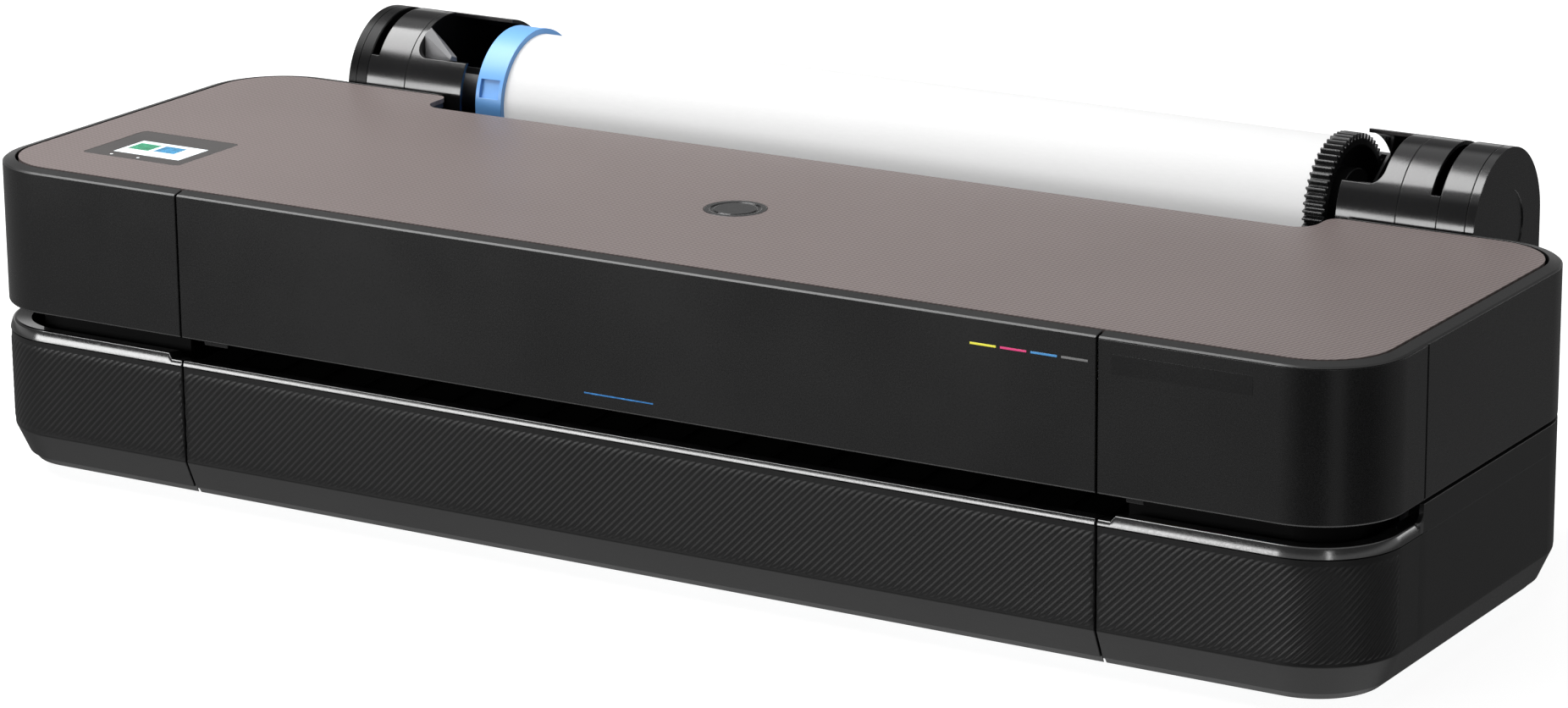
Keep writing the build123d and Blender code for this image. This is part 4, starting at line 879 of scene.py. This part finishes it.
def add_camera():
    """Camera from the front and right, a little above: no shift and no depth of field."""
    data = bpy.data.cameras.new("camera")
    data.lens = VIEW_LENS
    data.sensor_width = 36.0
    data.clip_end = 50.0
    camera = bpy.data.objects.new("camera", data)
    SCENE.collection.objects.link(camera)
    azimuth, elevation = radians(VIEW_AZIMUTH), radians(VIEW_ELEVATION)
    back = Vector((sin(azimuth) * cos(elevation), -cos(azimuth) * cos(elevation), sin(elevation)))
    turn = Matrix.Rotation(azimuth, 4, "Z") @ Matrix.Rotation(pi / 2 - elevation, 4, "X")
    turn = turn @ Matrix.Rotation(radians(VIEW_ROLL), 4, "Z")
    camera.matrix_world = Matrix.Translation(VIEW_TARGET + back * VIEW_DISTANCE) @ turn
    SCENE.camera = camera


def add_area_light(name, place, target, size, power):
    """Soft rectangular light aimed at a point."""
    data = bpy.data.lights.new(name, "AREA")
    data.shape = "RECTANGLE"
    data.size, data.size_y = size
    data.energy = power
    lamp = bpy.data.objects.new(name, data)
    SCENE.collection.objects.link(lamp)
    aim = (Vector(target) - Vector(place)).to_track_quat("-Z", "Y")
    lamp.matrix_world = Matrix.Translation(Vector(place)) @ aim.to_matrix().to_4x4()
    lamp.visible_camera = False


# height of a direction on the unit sphere, and the brightness there: the two ends come first
WORLD_LEVELS = [
    (-0.90, 1.90), (1.0, 0.80), (-0.62, 0.36), (-0.05, 0.30), (0.0, 0.70), (0.16, 0.75), (0.26, 0.20),
    (0.60, 0.20), (0.72, 0.80),
]
WORLD_PEAK = 1.9
# degrees from the front towards the right, and the share of the light kept there just below the horizon
AZIMUTH_SHARE = [
    (-180, 0.45), (180, 0.45), (-95, 0.75), (-60, 0.9), (-20, 0.9), (4, 0.12), (34, 0.06), (41, 1.0),
    (53, 1.0), (60, 0.06), (92, 0.10), (122, 0.55),
]
FLOOR_REACH = 30.0


def add_floor():
    """Plain pale floor."""
    mesh = bpy.data.meshes.new("floor")
    corners = [(x * FLOOR_REACH, y * FLOOR_REACH, 0) for x, y in ((-1, -1), (1, -1), (1, 1), (-1, 1))]
    mesh.from_pydata(corners, [], [(0, 1, 2, 3)])
    floor = bpy.data.objects.new("floor", mesh)
    SCENE.collection.objects.link(floor)
    material = bpy.data.materials.new("floor")
    material.use_nodes = True
    shader = material.node_tree.nodes["Principled BSDF"]
    shader.inputs["Base Color"].default_value = (0.30, 0.30, 0.30, 1)
    shader.inputs["Roughness"].default_value = 0.9
    shader.inputs["Emission Color"].default_value = (1, 1, 1, 1)
    shader.inputs["Emission Strength"].default_value = 0.85
    mesh.materials.append(material)
    floor.visible_glossy = False


def add_world():
    """Studio surround: brightness by height, and below the horizon by azimuth too."""
    world = bpy.data.worlds.new("studio")
    world.use_nodes = True
    tree = world.node_tree
    background = tree.nodes["Background"]
    place = tree.nodes.new("ShaderNodeTexCoord").outputs["Generated"]
    split = tree.nodes.new("ShaderNodeSeparateXYZ")
    tree.links.new(place, split.inputs["Vector"])

    def spread(source, low, high, to_low=0.0, to_high=1.0):
        node = tree.nodes.new("ShaderNodeMapRange")
        node.interpolation_type = "SMOOTHSTEP" if to_low > to_high else "LINEAR"
        for socket, value in zip(("From Min", "From Max", "To Min", "To Max"), (low, high, to_low, to_high)):
            node.inputs[socket].default_value = value
        tree.links.new(source, node.inputs["Value"])
        return node.outputs["Result"]

    def graded(source, reach, points):
        """Grey ramp over the source from -reach to reach, through (place from -1 to 1, value) points."""
        node = tree.nodes.new("ShaderNodeValToRGB")
        tree.links.new(spread(source, -reach, reach), node.inputs["Fac"])
        stops = node.color_ramp.elements
        for element, (at, value) in zip(stops, points[:2]):
            element.position, element.color = (at + 1) / 2, (value, value, value, 1)
        for at, value in points[2:]:
            stops.new((at + 1) / 2).color = (value, value, value, 1)
        return node.outputs["Color"]

    def combine(operation, a, b):
        node = tree.nodes.new("ShaderNodeMath")
        node.operation = operation
        for socket, value in zip(node.inputs, (a, b)):
            if isinstance(value, float):
                socket.default_value = value
            else:
                tree.links.new(value, socket)
        return node.outputs["Value"]

    levels = graded(split.outputs["Z"], 1.0, [(at, level / WORLD_PEAK) for at, level in WORLD_LEVELS])
    away = combine("MULTIPLY", split.outputs["Y"], -1.0)
    azimuth = combine("ARCTAN2", split.outputs["X"], away)
    share = graded(azimuth, pi, [(at / 180, kept) for at, kept in AZIMUTH_SHARE])
    overhead = spread(split.outputs["Z"], -0.04, 0.04)
    underneath = spread(split.outputs["Z"], -0.70, -0.60, 1.0, 0.0)
    kept = combine("MAXIMUM", combine("MAXIMUM", overhead, underneath), share)
    tree.links.new(levels, background.inputs["Color"])
    tree.links.new(combine("MULTIPLY", kept, WORLD_PEAK), background.inputs["Strength"])
    SCENE.world = world


add_camera()
add_floor()
add_world()
add_area_light("key", (-1.25, -0.35, 2.3), (0, 0, 0.1), (2.0, 1.6), 90)
add_area_light("front_low", (-1.7, -2.7, 0.5), (0, -0.1, 0.15), (2.2, 0.6), 40)
add_area_light("rear_low", (1.7, 2.7, 0.6), (0.3, 0, 0.15), (1.8, 0.6), 9)
add_area_light("corner", (1.7, -1.65, 0.55), (0.45, -0.15, 0.15), (0.14, 0.8), 2.5)
SCENE.view_settings.view_transform = "Standard"
